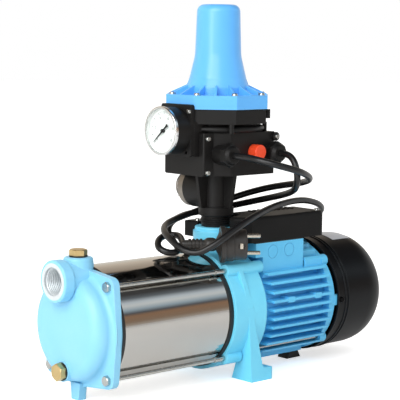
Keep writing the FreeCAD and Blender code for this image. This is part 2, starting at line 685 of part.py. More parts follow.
def motor_frame():
    """Finned aluminium frame with the pedestal of the terminal box."""
    x = (FIN_START, X_SHIELD)
    fins = []
    for step in range(-5, 5):
        z = SHAFT_Z + step * FIN_PITCH
        slab = block(x, (-SIDE_FIN_HALF, SIDE_FIN_HALF), (z - FIN / 2, z + FIN / 2))
        fins.append(slab.common(rod("X", SIDE_FIN_R, x[0], x[1], 0, SHAFT_Z)))
    for y in (-20, -10, 0, 10, 20):
        slab = block(x, (y - FIN / 2, y + FIN / 2), (0, SHAFT_Z))
        fins.append(slab.common(rod("X", LOW_FIN_R, x[0], x[1], 0, SHAFT_Z)))
    for y in (-50, -40, -30, -20, -10, 0, 10, 20, 30, 40, 50):
        foot = SHAFT_Z + (4 * FIN_PITCH if abs(y) > 45 else 36)
        slab = block((TOP_FIN_START, X_SHIELD), (y - FIN / 2, y + FIN / 2), (foot, SHAFT_Z + TOP_FIN_R))
        fins.append(slab.common(rod("X", TOP_FIN_R, TOP_FIN_START, X_SHIELD, 0, SHAFT_Z)))
    for x_pad in (35.6, 79.5):
        z = SHAFT_Z + FIN_PITCH
        fins.append(block((x_pad - 5, x_pad + 5), (-SIDE_FIN_HALF, -CORE_R + 1), (z - 3, z + 3)))
    body = rod("X", CORE_R, X_MOTOR, X_SHIELD, 0, SHAFT_Z).fuse(fins + [pedestal()])
    pocket_floor = Z_BOX - POCKET_DEPTH
    pocket = block((X_MOTOR + 3.3, PEDESTAL_END - 3), (-PEDESTAL_HALF + 3, PEDESTAL_HALF - 3),
                   (pocket_floor, Z_BOX)).cut(rod("Z", NOTCH_R + 3, pocket_floor, Z_BOX, DISCHARGE_X))
    notch_foot = SHAFT_Z + CORE_R + 0.5
    cuts = [rod("X", BORE_R, X_MOTOR, X_SHIELD, 0, SHAFT_Z), pocket,
            rod("Z", NOTCH_R, notch_foot, Z_BOX, DISCHARGE_X),
            rod("Z", 8, SHAFT_Z + 40, pocket_floor, 55),
            block((88, X_SHIELD), (-8.5, 8.5), (0, SHAFT_Z - CORE_R)),
            knock_out(23, Z_BOX - 11), knock_out(49.5, Z_BOX - 11)]
    for y, z in square(FRAME_BOLT_HALF):
        cuts.append(rod("X", FRAME_BOLT_R + SCREW_FIT, X_MOTOR, X_SHIELD, y, SHAFT_Z + z))
    return body.cut(cuts).removeSplitter()


def end_shield():
    """Rear cover of the motor: bearing hub, bolt lugs and the pads that carry the fan cover."""
    back = X_SHIELD + SHIELD_THICK
    pad_r = COVER_R - COVER_WALL - SCREW_FIT
    disc = turned([(X_SHIELD - 4, BORE_R - 6), (X_SHIELD - 4, BORE_R - SCREW_FIT),
                   (X_SHIELD, BORE_R - SCREW_FIT), (X_SHIELD, SHIELD_R), (back, SHIELD_R, 2), (back, BORE_R),
                   (X_SHIELD + 5, BORE_R - 4), (X_SHIELD + 5, HUB_R + 4), (back + 3, HUB_R),
                   (back + 3, SHAFT_R + 1), (X_REAR_BEARING, SHAFT_R + 1), (X_REAR_BEARING, HUB_R),
                   (X_SHIELD, HUB_R + 3), (X_SHIELD, BORE_R - 6)], "X", 0, SHAFT_Z)
    pad_band = tube("X", pad_r, pad_r - 5, back - 3, back + PAD, 0, SHAFT_Z)
    pad_cross = [block((back - 3, back + PAD), (-6, 6), (SHAFT_Z - 80, SHAFT_Z + 80)),
                 block((back - 3, back + PAD), (-80, 80), (SHAFT_Z - 6, SHAFT_Z + 6))]
    pads = [pad_band.common(bar) for bar in pad_cross]
    lugs = [rod("X", LUG_R, X_SHIELD, back, y, SHAFT_Z + z) for y, z in square(FRAME_BOLT_HALF)]
    cuts = [rod("X", BEARING_R, X_REAR_BEARING, X_REAR_BEARING + BEARING_WIDTH, 0, SHAFT_Z)]
    for y, z in square(FRAME_BOLT_HALF):
        cuts.append(rod("X", FRAME_BOLT_R + SCREW_FIT, X_SHIELD, back, y, SHAFT_Z + z))
        cuts.append(rod("X", 4.5, back - 4.5, back, y, SHAFT_Z + z))
    for angle in range(4):
        cuts.append(cover_screw_bar(angle, 2.1, 50, 70))
    return disc.fuse(pads + lugs).cut(cuts).removeSplitter()


def frame_bolt(y, z):
    """Bolt that clamps the motor between the end shield and the adapter."""
    back = X_SHIELD + SHIELD_THICK
    head = rod("X", 4.2, back - 4.5, back - 0.5, y, z)
    return head.fuse(rod("X", FRAME_BOLT_R, X_MOTOR - 11, back - 4.5, y, z))


def cover_screw_bar(quarter, radius, start, end):
    """Radial bar at one of the four fan-cover screws."""
    bar = rod("Z", radius, SHAFT_Z + start, SHAFT_Z + end, X_COVER + COVER_SCREW)
    bar.rotate(V(0, 0, SHAFT_Z), UNIT["X"], 90 * quarter)
    return bar


def cover_screw(quarter):
    """Radial screw that holds the fan cover."""
    screw = pan_screw("Z", SHAFT_Z + COVER_R, 1, COVER_SCREW_R, 6, X_COVER + COVER_SCREW, 0)
    screw.rotate(V(0, 0, SHAFT_Z), UNIT["X"], 90 * quarter)
    return screw


def fan_cover():
    """Moulded fan cover with a rounded nose and a slotted air inlet."""
    def profile(radius, flat, x_wall, x_nose):
        poles = [V(x_wall, radius, SHAFT_Z), V(x_wall + 20, radius, SHAFT_Z),
                 V(x_nose, flat + 13, SHAFT_Z), V(x_nose, flat, SHAFT_Z)]
        curve = Part.BezierCurve()
        curve.setPoles(poles)
        corners = [V(x_nose, flat, SHAFT_Z), V(x_nose, 0, SHAFT_Z), V(X_COVER, 0, SHAFT_Z),
                   V(X_COVER, radius, SHAFT_Z), V(x_wall, radius, SHAFT_Z)]
        lines = [Part.LineSegment(a, b).toShape() for a, b in zip(corners, corners[1:])]
        return Part.Face(Part.Wire([curve.toShape()] + lines)).revolve(V(0, 0, SHAFT_Z), UNIT["X"], 360)

    wall_end = X_GRILLE - COVER_NOSE
    body = profile(COVER_R, COVER_FLAT_R, wall_end, X_GRILLE)
    beads = [turned([(X_COVER + x, COVER_R - 1), (X_COVER + x + 0.8, COVER_R + 1.0),
                     (X_COVER + x + 2.0, COVER_R + 1.0), (X_COVER + x + 3.0, COVER_R - 1)], "X", 0, SHAFT_Z)
             for x in COVER_BEADS]
    rim = tube("X", COVER_R + 0.8, COVER_R - 1, X_COVER, X_COVER + 2, 0, SHAFT_Z)
    hollow = profile(COVER_R - COVER_WALL, COVER_FLAT_R, wall_end, X_GRILLE - 2.0)
    cuts = [hollow]
    for inner, outer, count in ((12, 25, 12), (29, COVER_FLAT_R - 1, 24)):
        slot = block((X_GRILLE - 3, X_GRILLE + 1), (inner, outer), (SHAFT_Z - 2.2, SHAFT_Z + 2.2))
        cuts += around(slot, "X", count, 0, SHAFT_Z)
    cuts += [cover_screw_bar(quarter, 1.9, 60, 75) for quarter in range(4)]
    return body.fuse(beads + [rim]).cut(cuts).removeSplitter()


def cooling_fan():
    """Radial fan on the shaft end."""
    seat = X_SHIELD + SHIELD_THICK
    hub = tube("X", 13, FAN_SHAFT_R, seat + 16, seat + 38, 0, SHAFT_Z)
    disc = tube("X", FAN_R - 4, 12, seat + 18, seat + 20, 0, SHAFT_Z)
    blade = block((seat + 19, seat + 42), (10, FAN_R), (SHAFT_Z - 1, SHAFT_Z + 1))
    blade = blade.cut(block((seat + 38, seat + 43), (9, 14), (SHAFT_Z - 2, SHAFT_Z + 2)))
    return hub.fuse([disc] + around(blade, "X", FAN_BLADES, 0, SHAFT_Z)).removeSplitter()


def rear_foot():
    """Rubber foot under the fan end of the motor."""
    pad = prism([(92, 0), (115, 0), (110, 9), (96, 9)], "Y", -8, 8)
    return pad.fuse(block((96, X_SHIELD - 0.5), (-8, 8), (8, SHAFT_Z - CORE_R - 0.1))).removeSplitter()


def rounded_block(plan, base, top, radius):
    """Upright block on a plan outline, with its top edges rounded."""
    mass = prism(plan, "Z", base, top)
    rim = [edge for edge in mass.Edges if all(abs(vertex.Z - top) < 1e-6 for vertex in edge.Vertexes)]
    return mass.makeFillet(radius, rim)


def box_mass(inset, base, tall, low):
    """Terminal box as a full solid, with the notch round the discharge boss."""
    front, end, half = BOX_FRONT + inset, BOX_END - inset, BOX_HALF - inset
    chamfer = BOX_CHAMFER - inset * 0.6
    round_off = BOX_CORNER - inset
    side = [(front, -half + chamfer), (front + chamfer, -half), (end, -half, round_off)]
    step = BOX_STEP_Y - inset
    bulge = rounded_block([(front, step)] + side + [(end, step)], base, base + tall, BOX_ROUND - inset)
    floor = rounded_block([(front, half)] + side + [(end, half, round_off)], base, base + low, BOX_LOW_ROUND)
    notch = BOX_NOTCH_R + inset
    cuts = [rod("Z", notch, base, base + tall, DISCHARGE_X),
            block((BOX_FRONT, DISCHARGE_X), (-notch, notch), (base, base + tall))]
    return bulge.fuse(floor).cut(cuts)


def terminal_cover():
    """Plastic cover of the terminal box, higher over the capacitor."""
    base = Z_BOX + BOX_GASKET
    outer = box_mass(0, base, BOX_TALL - BOX_GASKET, BOX_LOW - BOX_GASKET)
    inner = box_mass(BOX_WALL, base, BOX_TALL - BOX_GASKET - BOX_WALL, BOX_LOW - BOX_GASKET - BOX_WALL)
    cuts = [inner, rod("X", LEAD_R + 0.6, BOX_END - 12, BOX_END, LEAD_GLAND_Y, Z_BOX + LEAD_GLAND_RISE)]
    top = Z_BOX + BOX_TALL
    grips = [block((x, x + GRIP), (BOX_STEP_Y - GRIP_END - GRIP_LENGTH, BOX_STEP_Y - GRIP_END),
                   (top - 1, top + GRIP_TALL))
             for x in (GRIP_START + step * GRIP_PITCH for step in range(GRIPS))]
    posts = [rod("Z", 4.0, base, seat - 0.5, x, y) for x, y, seat in box_screws()]
    body = outer.cut(cuts).fuse(posts + grips)
    holes = [rod("Z", 1.8, base, seat + 1, x, y) for x, y, seat in box_screws()]
    return body.cut(holes).removeSplitter()


def box_screws():
    """Places of the cover screws, as x, y and the height that the head seats on."""
    low = Z_BOX + BOX_LOW
    top = Z_BOX + BOX_TALL
    return [(BOX_END - 8, 36, low), (BOX_FRONT + 8, 36, low), (BOX_END - 8, -41, top)]


def terminal_gasket():
    """Flat seal on the pedestal's rim, open over the pocket."""
    z = (Z_BOX, Z_BOX + BOX_GASKET)
    sheet = block((X_MOTOR + 0.3, PEDESTAL_END), (-BOX_HALF, BOX_HALF), z)
    pocket = block((X_MOTOR + 5, PEDESTAL_END - 5), (-PEDESTAL_HALF + 5, PEDESTAL_HALF - 5), z)
    pocket = pocket.cut(rod("Z", NOTCH_R + 5, z[0], z[1], DISCHARGE_X))
    return sheet.cut([pocket, rod("Z", NOTCH_R, z[0], z[1], DISCHARGE_X)])


def cord_gland(axis, seat, out, across, length, bore, a, b):
    """Hexagon gland nut with a rounded lip; the cord leaves at its tip."""
    tip = seat + out * length
    nut = seat + out * length * 0.62
    lip = turned([(nut, 0), (nut, across * 0.47), (tip, across * 0.38, 1.5), (tip, 0)], axis, a, b)
    body = bevelled_hexagon(axis, across, seat, nut, a, b).fuse(lip)
    return body.cut(rod(axis, bore, min(seat, tip - out * 2.0), max(seat, tip - out * 2.0), a, b))


def controller_ribs():
    """Four webs that taper from the housing down to the collar."""
    foot, top = COLLAR_Z + COLLAR, BODY_Z
    web = prism([(-RIB_TOP_R, top), (-RIB_FOOT_R, foot), (RIB_FOOT_R, foot), (RIB_TOP_R, top)],
                "Y", -RIB / 2, RIB / 2)
    turned_web = web.copy()
    turned_web.rotate(V(0, 0, 0), UNIT["Z"], 90)
    return [web, turned_web]


def octagon(across, start, end):
    """Eight-sided slab about the controller's axis, flats along X and Y."""
    return prism(regular(8, across), "Z", start, end)


def controller_body():
    """Black moulded body: spigot, column, ribs, side port, switch housing and upper band."""
    collar = turned([(COLLAR_Z, 0), (COLLAR_Z, COLLAR_R, 1), (COLLAR_Z + COLLAR, COLLAR_R, 1),
                     (COLLAR_Z + COLLAR, 0)], "Z")
    plan = [(FRONT_SEAM, -FRONT_HALF + 1.5), (-19.5, -BODY_HALF, 2), (48, -BODY_HALF, 3),
            (48, BODY_HALF, 3), (-19.5, BODY_HALF, 2), (FRONT_SEAM, FRONT_HALF - 1.5)]
    pieces = [rod("Z", SPIGOT_R, -SPIGOT_DEPTH, COLLAR_Z), rod("Z", COLUMN_R, COLLAR_Z, BODY_Z + 1),
              prism(plan, "Z", BODY_Z, Z_GROOVE), rod("Z", GROOVE_R, Z_GROOVE, Z_BAND),
              octagon(BAND_AF, Z_BAND, Z_SPRING),
              rod("Y", SIDE_PORT_R, 0, SIDE_PORT_REACH, 0, SIDE_PORT_Z),
              rod("Y", GLAND_BOSS_R, -FRONT_HALF - GLAND_1_BOSS, 0, GLAND_1_X, GLAND_Z),
              rod("Y", GLAND_BOSS_R, -BODY_HALF - GLAND_2_BOSS, 0, GLAND_2_X, GLAND_Z),
              block((-57, -40), (-25, 25), (GAUGE_Z - 28, GAUGE_Z + 10)),
              rod("Y", EAR_R, -EAR_REACH, -28, EAR_X, EAR_Z),
              rod("Z", 3.2, Z_SPRING - 11, Z_SPRING - 1, 36, -44),
              rod("Z", 3.0, Z_GROOVE, Z_BAND, -25, -50)]
    body = collar.fuse(pieces + controller_ribs())
    switch_room = block((FRONT_SEAM, -18), (-FRONT_HALF + 5, FRONT_HALF - 5), (BODY_Z + 4, Z_GROOVE - 8))
    side_end = SIDE_PORT_REACH - INSERT_DEPTH
    cuts = [rod("Z", SEAT_R, -SPIGOT_DEPTH, SEAT_Z), rod("Z", WATER_R, SEAT_Z, Z_SPRING),
            rod("Y", SIDE_WATER_R, 0, side_end, 0, SIDE_PORT_Z),
            rod("Y", INSERT_SLEEVE_R, side_end, SIDE_PORT_REACH, 0, SIDE_PORT_Z), switch_room,
            rod("Y", INSERT_R + 0.8, SIDE_PORT_REACH, BODY_HALF + 1, 0, SIDE_PORT_Z),
            rod("Z", 32, Z_SPRING - 8, Z_SPRING),
            rod("Y", EAR_SCREW_R * 0.5 + SCREW_FIT, -EAR_REACH, -EAR_REACH + 9, EAR_X, EAR_Z),
            rod("Y", BUTTON_R + BODY_GAP, -BODY_HALF, -BODY_HALF + BUTTON_GUIDE + BUTTON_TRAVEL + 1,
                BUTTON_X, BUTTON_Z),
            rod("Y", LEAD_R + 0.6, -FRONT_HALF - GLAND_1_BOSS, -FRONT_HALF + 8, GLAND_1_X, GLAND_Z),
            rod("Y", LEAD_R + 0.6, -BODY_HALF - GLAND_2_BOSS, -BODY_HALF + 18, GLAND_2_X, GLAND_Z)]
    for x, y in housing_screw_places():
        cuts.append(rod("Z", 1.8, Z_SPRING - 12, Z_SPRING, x, y))
    posts = [rod("X", 2.5, BOARD_X, -17, y, z) for y in (-20, 20) for z in (BODY_Z + 11, Z_GROOVE - 15)]
    return on_outlet(body.cut(cuts).fuse(posts).removeSplitter())


def housing_screw_places():
    """The eight corner screws of the spring housing."""
    angles = [math.tau * (step + 0.5) / 8 for step in range(8)]
    return [(HOUSING_SCREW_R * math.cos(angle), HOUSING_SCREW_R * math.sin(angle)) for angle in angles]


def spring_housing():
    """Blue bell over the pressure spring: octagonal flange, gussets and a tall cap."""
    flange_top = Z_SPRING + SPRING_FLANGE
    top = Z_SPRING + SPRING_TALL
    bell = turned([(Z_SPRING + 1, 0), (Z_SPRING + 1, 36), (flange_top + 8, 36), (flange_top + 18, 32, 12),
                   (flange_top + 43, 26, 40), (flange_top + 92, 24.3), (top, 23.6, 8), (top, 0)], "Z")
    gusset = prism([(30, flange_top - 1), (HOUSING_SCREW_R + 1.5, flange_top - 1),
                    (HOUSING_SCREW_R + 1.5, flange_top + 1), (34, flange_top + 11), (30, flange_top + 11)],
                   "Y", -1.2, 1.2)
    body = octagon(SPRING_AF, Z_SPRING, flange_top).fuse([bell] + around(gusset, "Z", GUSSETS))
    recess = Z_SPRING + DIAPHRAGM
    cuts = [rod("Z", DIAPHRAGM_R + SCREW_FIT, Z_SPRING, recess), rod("Z", 32, recess, flange_top - 4),
            rod("Z", SPRING_BORE_R, flange_top - 4, top - 14)]
    for x, y in housing_screw_places():
        cuts.append(rod("Z", 2.0, Z_SPRING, flange_top, x, y))
        cuts.append(rod("Z", 4.2, flange_top, flange_top + 6, x, y))
    return on_outlet(body.cut(cuts).removeSplitter())


def outlet_insert():
    """Threaded metal insert of the side port."""
    inner = SIDE_PORT_REACH - INSERT_DEPTH
    end = SIDE_PORT_REACH + INSERT_LIP
    body = turned([(inner, PORT_R), (inner, INSERT_SLEEVE_R - SCREW_FIT),
                   (SIDE_PORT_REACH, INSERT_SLEEVE_R - SCREW_FIT), (SIDE_PORT_REACH, INSERT_R),
                   (end, INSERT_R, 1.2), (end, PORT_R)], "Y", 0, SIDE_PORT_Z)
    return on_outlet(body.removeSplitter())


def switch_cover():
    """Front cover over the pressure switch."""
    z = (BODY_Z, Z_GROOVE)
    shell = prism([(FRONT_X, -FRONT_HALF, 2), (FRONT_SEAM, -FRONT_HALF), (FRONT_SEAM, FRONT_HALF),
                   (FRONT_X, FRONT_HALF, 2)], "Z", z[0], z[1])
    shell = shell.common(prism([(-FRONT_HALF, z[0], COVER_ROUND), (FRONT_HALF, z[0], COVER_ROUND),
                                (FRONT_HALF, z[1]), (-FRONT_HALF, z[1])], "X", FRONT_X, FRONT_SEAM))
    room = block((FRONT_X + FRONT_WALL, FRONT_SEAM), (-FRONT_HALF + 9, FRONT_HALF - 9),
                 (z[0] + FRONT_WALL, z[1] - FRONT_WALL))
    gauge_back = block((-58, -40 + 10), (-25 - SCREW_FIT, 25 + SCREW_FIT),
                       (GAUGE_Z - 28 - SCREW_FIT, Z_GROOVE + 1))
    gland = rod("Y", GLAND_BOSS_R + SCREW_FIT, -FRONT_HALF - 1, -FRONT_HALF + 10, GLAND_1_X, GLAND_Z)
    holes = [rod("Y", 1.8, -FRONT_HALF, -FRONT_HALF + 8, FRONT_X + 6, z) for z in front_screw_heights()]
    return on_outlet(shell.cut([room, gauge_back, gland] + holes).removeSplitter())


def front_screw_heights():
    """Heights of the two screws on the side of the switch cover."""
    return [BODY_Z + 4.3, Z_GROOVE - 6.0]


def gauge_case():
    """Gauge body: square mounting plate, stem block and round case."""
    front = GAUGE_BACK - GAUGE_DEPTH
    plate = prism([(-25, GAUGE_Z - 28, 3), (25, GAUGE_Z - 28, 3), (25, GAUGE_Z + 29, 3),
                   (-25, GAUGE_Z + 29, 3)], "X", GAUGE_BACK, GAUGE_BACK + GAUGE_PLATE)
    can = rod("X", GAUGE_R, front, GAUGE_BACK + 0.5, 0, GAUGE_Z)
    pocket = rod("X", GAUGE_POCKET_R, front, front + GAUGE_POCKET, 0, GAUGE_Z)
    pin = rod("X", 1.0, front + 1.2, front + GAUGE_POCKET + 1, 0, GAUGE_Z)
    hole = rod("X", 2.0, GAUGE_BACK, GAUGE_BACK + GAUGE_PLATE, -17, GAUGE_Z - 23.7)
    screw = rod("X", 1.8, GAUGE_BACK, GAUGE_BACK + GAUGE_PLATE, GAUGE_SCREW_Y, GAUGE_Z + GAUGE_SCREW_RISE)
    return on_outlet(plate.fuse(can).cut([pocket, hole, screw]).fuse(pin).removeSplitter())


def gauge_bezel():
    """Crimped rim that holds the gauge glass."""
    front = GAUGE_BACK - GAUGE_DEPTH
    lip = front - GAUGE_RIM
    body = turned([(lip, GAUGE_POCKET_R), (lip, GAUGE_R + 1, 1.2), (lip + GAUGE_CRIMP, GAUGE_R + 1),
                   (lip + GAUGE_CRIMP, GAUGE_R + RUN_FIT), (front, GAUGE_R + RUN_FIT),
                   (front, GAUGE_POCKET_R)], "X", 0, GAUGE_Z)
    return on_outlet(body)


def gauge_lens():
    """Flat glass behind the rim."""
    front = GAUGE_BACK - GAUGE_DEPTH
    return on_outlet(rod("X", GAUGE_POCKET_R - 0.05, front - 1.6, front - 0.1, 0, GAUGE_Z))


def gauge_dial():
    """Scale disc at the back of the pocket."""
    face = GAUGE_BACK - GAUGE_DEPTH + GAUGE_POCKET
    disc = rod("X", GAUGE_POCKET_R - 0.05, face - 1.0, face, 0, GAUGE_Z)
    return on_outlet(disc.cut(rod("X", 2.0, face - 1.0, face, 0, GAUGE_Z)))


def gauge_pointer():
    """Pointer with its counterweight, on the gauge's pin."""
    face = GAUGE_BACK - GAUGE_DEPTH + GAUGE_POCKET
    x0 = face - 3.6
    hub = tube("X", 2.2, 1.0 + RUN_FIT, x0 - 0.8, x0 + 1.4, 0, GAUGE_Z)
    tip = GAUGE_POCKET_R - 4.9
    blade = prism([(tip, GAUGE_Z - 0.2), (tip, GAUGE_Z + 0.2), (2, GAUGE_Z + 0.8), (-6, GAUGE_Z + 0.8),
                   (-10, GAUGE_Z + 1.7), (-10, GAUGE_Z - 1.7), (-6, GAUGE_Z - 0.8), (2, GAUGE_Z - 0.8)],
                  "X", x0, x0 + 0.8)
    body = blade.cut(rod("X", 2.0, x0 - 1, x0 + 1, 0, GAUGE_Z)).fuse(hub)
    body.rotate(V(0, 0, GAUGE_Z), UNIT["X"], POINTER_REST)
    return on_outlet(body)


def flow_valve():
    """Spring-loaded poppet that lifts when water flows."""
    seat = SEAT_Z + BODY_GAP
    disc = WATER_R - 0.6
    body = turned([(seat - 5, 0), (seat - 5, SEAT_R - 1.0), (seat, SEAT_R - 0.6), (seat, disc),
                   (seat + 4, disc, 1), (seat + 4, 3.5), (seat + 14, 3.5, 1), (seat + 14, 0)], "Z")
    return on_outlet(body)


def spring_plate():
    """Round plate between the diaphragm and the pressure spring."""
    base = Z_SPRING + DIAPHRAGM + BODY_GAP
    body = turned([(base, 0), (base, PLATE_R, 0.8), (base + PLATE, PLATE_R, 0.8), (base + PLATE, 9),
                   (base + PLATE + 5, 8, 1), (base + PLATE + 5, 0)], "Z")
    return on_outlet(body)


def pressure_spring():
    """Envelope of the coil spring between the plate and the cap."""
    base = Z_SPRING + DIAPHRAGM + BODY_GAP + PLATE + BODY_GAP
    return on_outlet(tube("Z", SPRING_R, SPRING_R - 4, base, Z_SPRING + SPRING_TALL - 14))


def reset_button():
    """Red push button in the controller's side."""
    face = -BODY_HALF - BUTTON_PROUD
    body = turned([(face, 0), (face, BUTTON_R, 1.5), (-BODY_HALF + BUTTON_GUIDE - 2, BUTTON_R),
                   (-BODY_HALF + BUTTON_GUIDE - 2, 0)], "Y", BUTTON_X, BUTTON_Z)
    return on_outlet(body)


def on_plug(shape):
    """Moves a plug piece from its own axis to where the plug lies."""
    moved = shape.copy()
    moved.rotate(V(0, 0, 0), UNIT["Z"], PLUG_TURN)
    return moved.translated(PLUG_AT)


def mains_plug():
    """Moulded plug with its grip, flange and earth recesses."""
    ribs = []
    for step in range(4):
        x = -PLUG_RIBS + step * 4.2
        ribs += [(x, PLUG_TAIL_R), (x, PLUG_RIB_R, 0.4), (x + 2.8, PLUG_RIB_R, 0.4), (x + 2.8, PLUG_TAIL_R)]
    body = turned([(-PLUG_TAIL - 4.7, 0), (-PLUG_TAIL - 4.7, 4.8, 4.7)] + ribs +
                  [(-20.5, PLUG_TAIL_R), (-17.8, PLUG_BALL_R, 6), (-10.2, PLUG_BALL_R, 6), (-7.6, 6.2),
                   (-3, 15), (-3, PLUG_FLANGE_R, 1), (2.5, PLUG_FLANGE_R, 1.5), (3, PLUG_STEP_R),
                   (12, PLUG_STEP_R, 1.5), (12, PLUG_BODY_R + 0.5), (PLUG_BODY, PLUG_BODY_R, 1.5),
                   (PLUG_BODY, 0)], "X")
    cuts = []
    for side in (-1, 1):
        near, far = sorted((side * (PLUG_BODY_R - EARTH_DEEP), side * (PLUG_BODY_R + 2)))
        cuts.append(rod("Y", EARTH_R, near, far, EARTH_X, 0))
    cuts += [rod("X", PIN_R, PLUG_BODY - 8, PLUG_BODY, 0, z) for z in (-PIN_HALF, PIN_HALF)]
    return on_plug(body.cut(cuts).removeSplitter())


def plug_pins():
    """Two round pins and two earth springs."""
    pieces = []
    end = PLUG_BODY + PIN_LENGTH
    for z in (-PIN_HALF, PIN_HALF):
        pin = turned([(PLUG_BODY - 7, 0), (PLUG_BODY - 7, PIN_R), (end, PIN_R, 1.4), (end, 0)], "X", 0, z)
        pieces.append(on_plug(pin))
    inner = PLUG_BODY_R - EARTH_DEEP
    for side in (-1, 1):
        near, far = sorted((side * inner, side * (inner + 1.2)))
        pieces.append(on_plug(block((EARTH_X - 1.6, EARTH_X + 1.6), (near, far), (-3, 3))))
    return pieces


def cord(points, radius):
    """Round cord along straight runs joined by arcs as large as their two runs allow."""
    places = [V(*point) for point in points]
    edges = []
    bends = []
    here = places[0]
    for before, corner, after in zip(places, places[1:], places[2:]):
        back = (corner - before).normalize()
        ahead = (after - corner).normalize()
        turn = back.getAngle(ahead)
        reach = 0.45 * min(corner.distanceToPoint(before), after.distanceToPoint(corner))
        bend = reach / math.tan(turn / 2)
        start, end = corner - back * reach, corner + ahead * reach
        inward = (ahead - back).normalize()
        middle = corner + inward * (bend / math.cos(turn / 2) - bend)
        edges += [Part.LineSegment(here, start).toShape(), Part.Arc(start, middle, end).toShape()]
        bends.append(round(bend / radius / 2, 1))
        here = end
    edges.append(Part.LineSegment(here, places[-1]).toShape())
    path = Part.Wire(edges)
    section = Part.Wire(Part.makeCircle(radius, places[0], places[1] - places[0]))
    body = path.makePipeShell([section], True, False)
    return body, path.Length, bends


def write_cord(name, points):
    """Writes a cord and prints its bends, in diameters, with its volume against its length."""
    body, length, bends = cord(points, LEAD_R)
    expected = math.pi * LEAD_R ** 2 * length
    print(name, "length", round(length, 1), "bends in diameters", bends)
    print(name, "volume over section times length", round(body.Volume / expected, 4), body.isValid())
    write(name, body)


def pump_parts():
    """Pump end: head, sleeve, stages and adapter."""
    write("pump_head", pump_head())
    plugs_and_seals()
    write("head_gasket", gasket(X_FLANGE, HEAD_GASKET))
    write("barrel_sleeve", sleeve())
    write("adapter_gasket", gasket(X_SLEEVE_END, BODY_GASKET))
    write("tie_bolts", *[tie_bolt(y, SHAFT_Z + z) for y, z in square(TIE_HALF)])
    write("adapter_casting", adapter_casting())
    for index in range(STAGES):
        write(f"diffuser_{index + 1}", diffuser(index))
        write(f"impeller_{index + 1}", impeller(index))


def rotor_parts():
    """Shaft line: shaft, seal, bearings, rotor and fan."""
    write("shaft", shaft())
    write("seal_rotor", seal_rotor())
    write("seal_seat", tube("X", SEAL_R, SHAFT_R + 1.2, X_BACK_WALL, X_BACK_WALL + SEAL_SEAT, 0, SHAFT_Z))
    write("shaft_bearings", bearing(X_MOTOR), bearing(X_REAR_BEARING))
    end = STATOR_START + STATOR_LENGTH
    write("rotor_core", tube("X", ROTOR_R, SHAFT_R + 1.5, STATOR_START - 2, end + 2, 0, SHAFT_Z))
    write("cooling_fan", cooling_fan())


def motor_parts():
    """Motor end: frame, stator, end shield, fan cover and foot."""
    end = STATOR_START + STATOR_LENGTH
    write("stator_core", tube("X", BORE_R, ROTOR_R + ROTOR_GAP, STATOR_START, end, 0, SHAFT_Z))
    coils = [(STATOR_START - WINDING, STATOR_START), (end, end + WINDING)]
    write("stator_windings", *[tube("X", 46, 34, low, high, 0, SHAFT_Z) for low, high in coils])
    write("motor_frame", motor_frame())
    write("end_shield", end_shield())
    write("frame_bolts", *[frame_bolt(y, SHAFT_Z + z) for y, z in square(FRAME_BOLT_HALF)])
    write("fan_cover", fan_cover())
    write("fan_cover_screws", *[cover_screw(quarter) for quarter in range(4)])
    write("rear_foot", rear_foot())


def terminal_parts():
    """Terminal box and what is in it."""
    write("terminal_gasket", terminal_gasket())
    write("terminal_cover", terminal_cover())
    write("terminal_screws", *[pan_screw("Z", z, 1, 3.2, 12, x, y) for x, y, z in box_screws()])
    gland = cord_gland("X", BOX_END, 1, LEAD_GLAND_AF, LEAD_GLAND, LEAD_R + 0.6, LEAD_GLAND_Y,
                       Z_BOX + LEAD_GLAND_RISE)
    write("terminal_gland", gland)
    floor = Z_BOX - POCKET_DEPTH
    write("capacitor", turned([(14, 0), (14, CAPACITOR_R, 2), (68, CAPACITOR_R, 2), (68, 0)], "X", -26,
                              floor + CAPACITOR_R))
    base = block((20, 60), (12, 36), (floor, floor + 10))
    posts = [rod("Z", 3, floor + 10, floor + 17, 26 + 14 * step, 24) for step in range(3)]
    write("terminal_block", base.fuse(posts).removeSplitter())


def controller_parts():
    """Pressure controller on the discharge."""
    write("controller_body", controller_body())
    write("spring_housing", spring_housing())
    write("housing_screws", *[on_outlet(pan_screw("Z", Z_SPRING + SPRING_FLANGE, 1, 3.6, 18, x, y))
                              for x, y in housing_screw_places()])
    write("diaphragm", on_outlet(rod("Z", DIAPHRAGM_R, Z_SPRING, Z_SPRING + DIAPHRAGM)))
    write("spring_plate", spring_plate())
    write("pressure_spring", pressure_spring())
    write("flow_valve", flow_valve())
    write("outlet_insert", outlet_insert())
    write("switch_cover", switch_cover())
    front = [on_outlet(pan_screw("Y", -FRONT_HALF, -1, 3.2, 7, FRONT_X + 6, z))
             for z in front_screw_heights()]
    gauge = on_outlet(pan_screw("X", GAUGE_BACK, -1, 3.0, 4.5, GAUGE_SCREW_Y, GAUGE_Z + GAUGE_SCREW_RISE))
    ear = on_outlet(pan_screw("Y", -EAR_REACH, -1, EAR_SCREW_R, 8, EAR_X, EAR_Z))
    write("cover_screws", gauge, ear, *front)
    board = block((BOARD_X - BOARD, BOARD_X), (-24, 24), (BODY_Z + 8, Z_GROOVE - 12))
    write("circuit_board", on_outlet(board))
    write("gauge_case", gauge_case())
    write("gauge_bezel", gauge_bezel())
    write("gauge_dial", gauge_dial())
    write("gauge_pointer", gauge_pointer())
    write("gauge_lens", gauge_lens())
    write("reset_button", reset_button())
    places = [(-FRONT_HALF - GLAND_1_BOSS, GLAND_1_X), (-BODY_HALF - GLAND_2_BOSS, GLAND_2_X)]
    glands = [cord_gland("Y", seat, -1, GLAND_AF, GLAND_NUT, LEAD_R + 0.6, x, GLAND_Z) for seat, x in places]
    write("cable_glands", *[on_outlet(gland) for gland in glands])


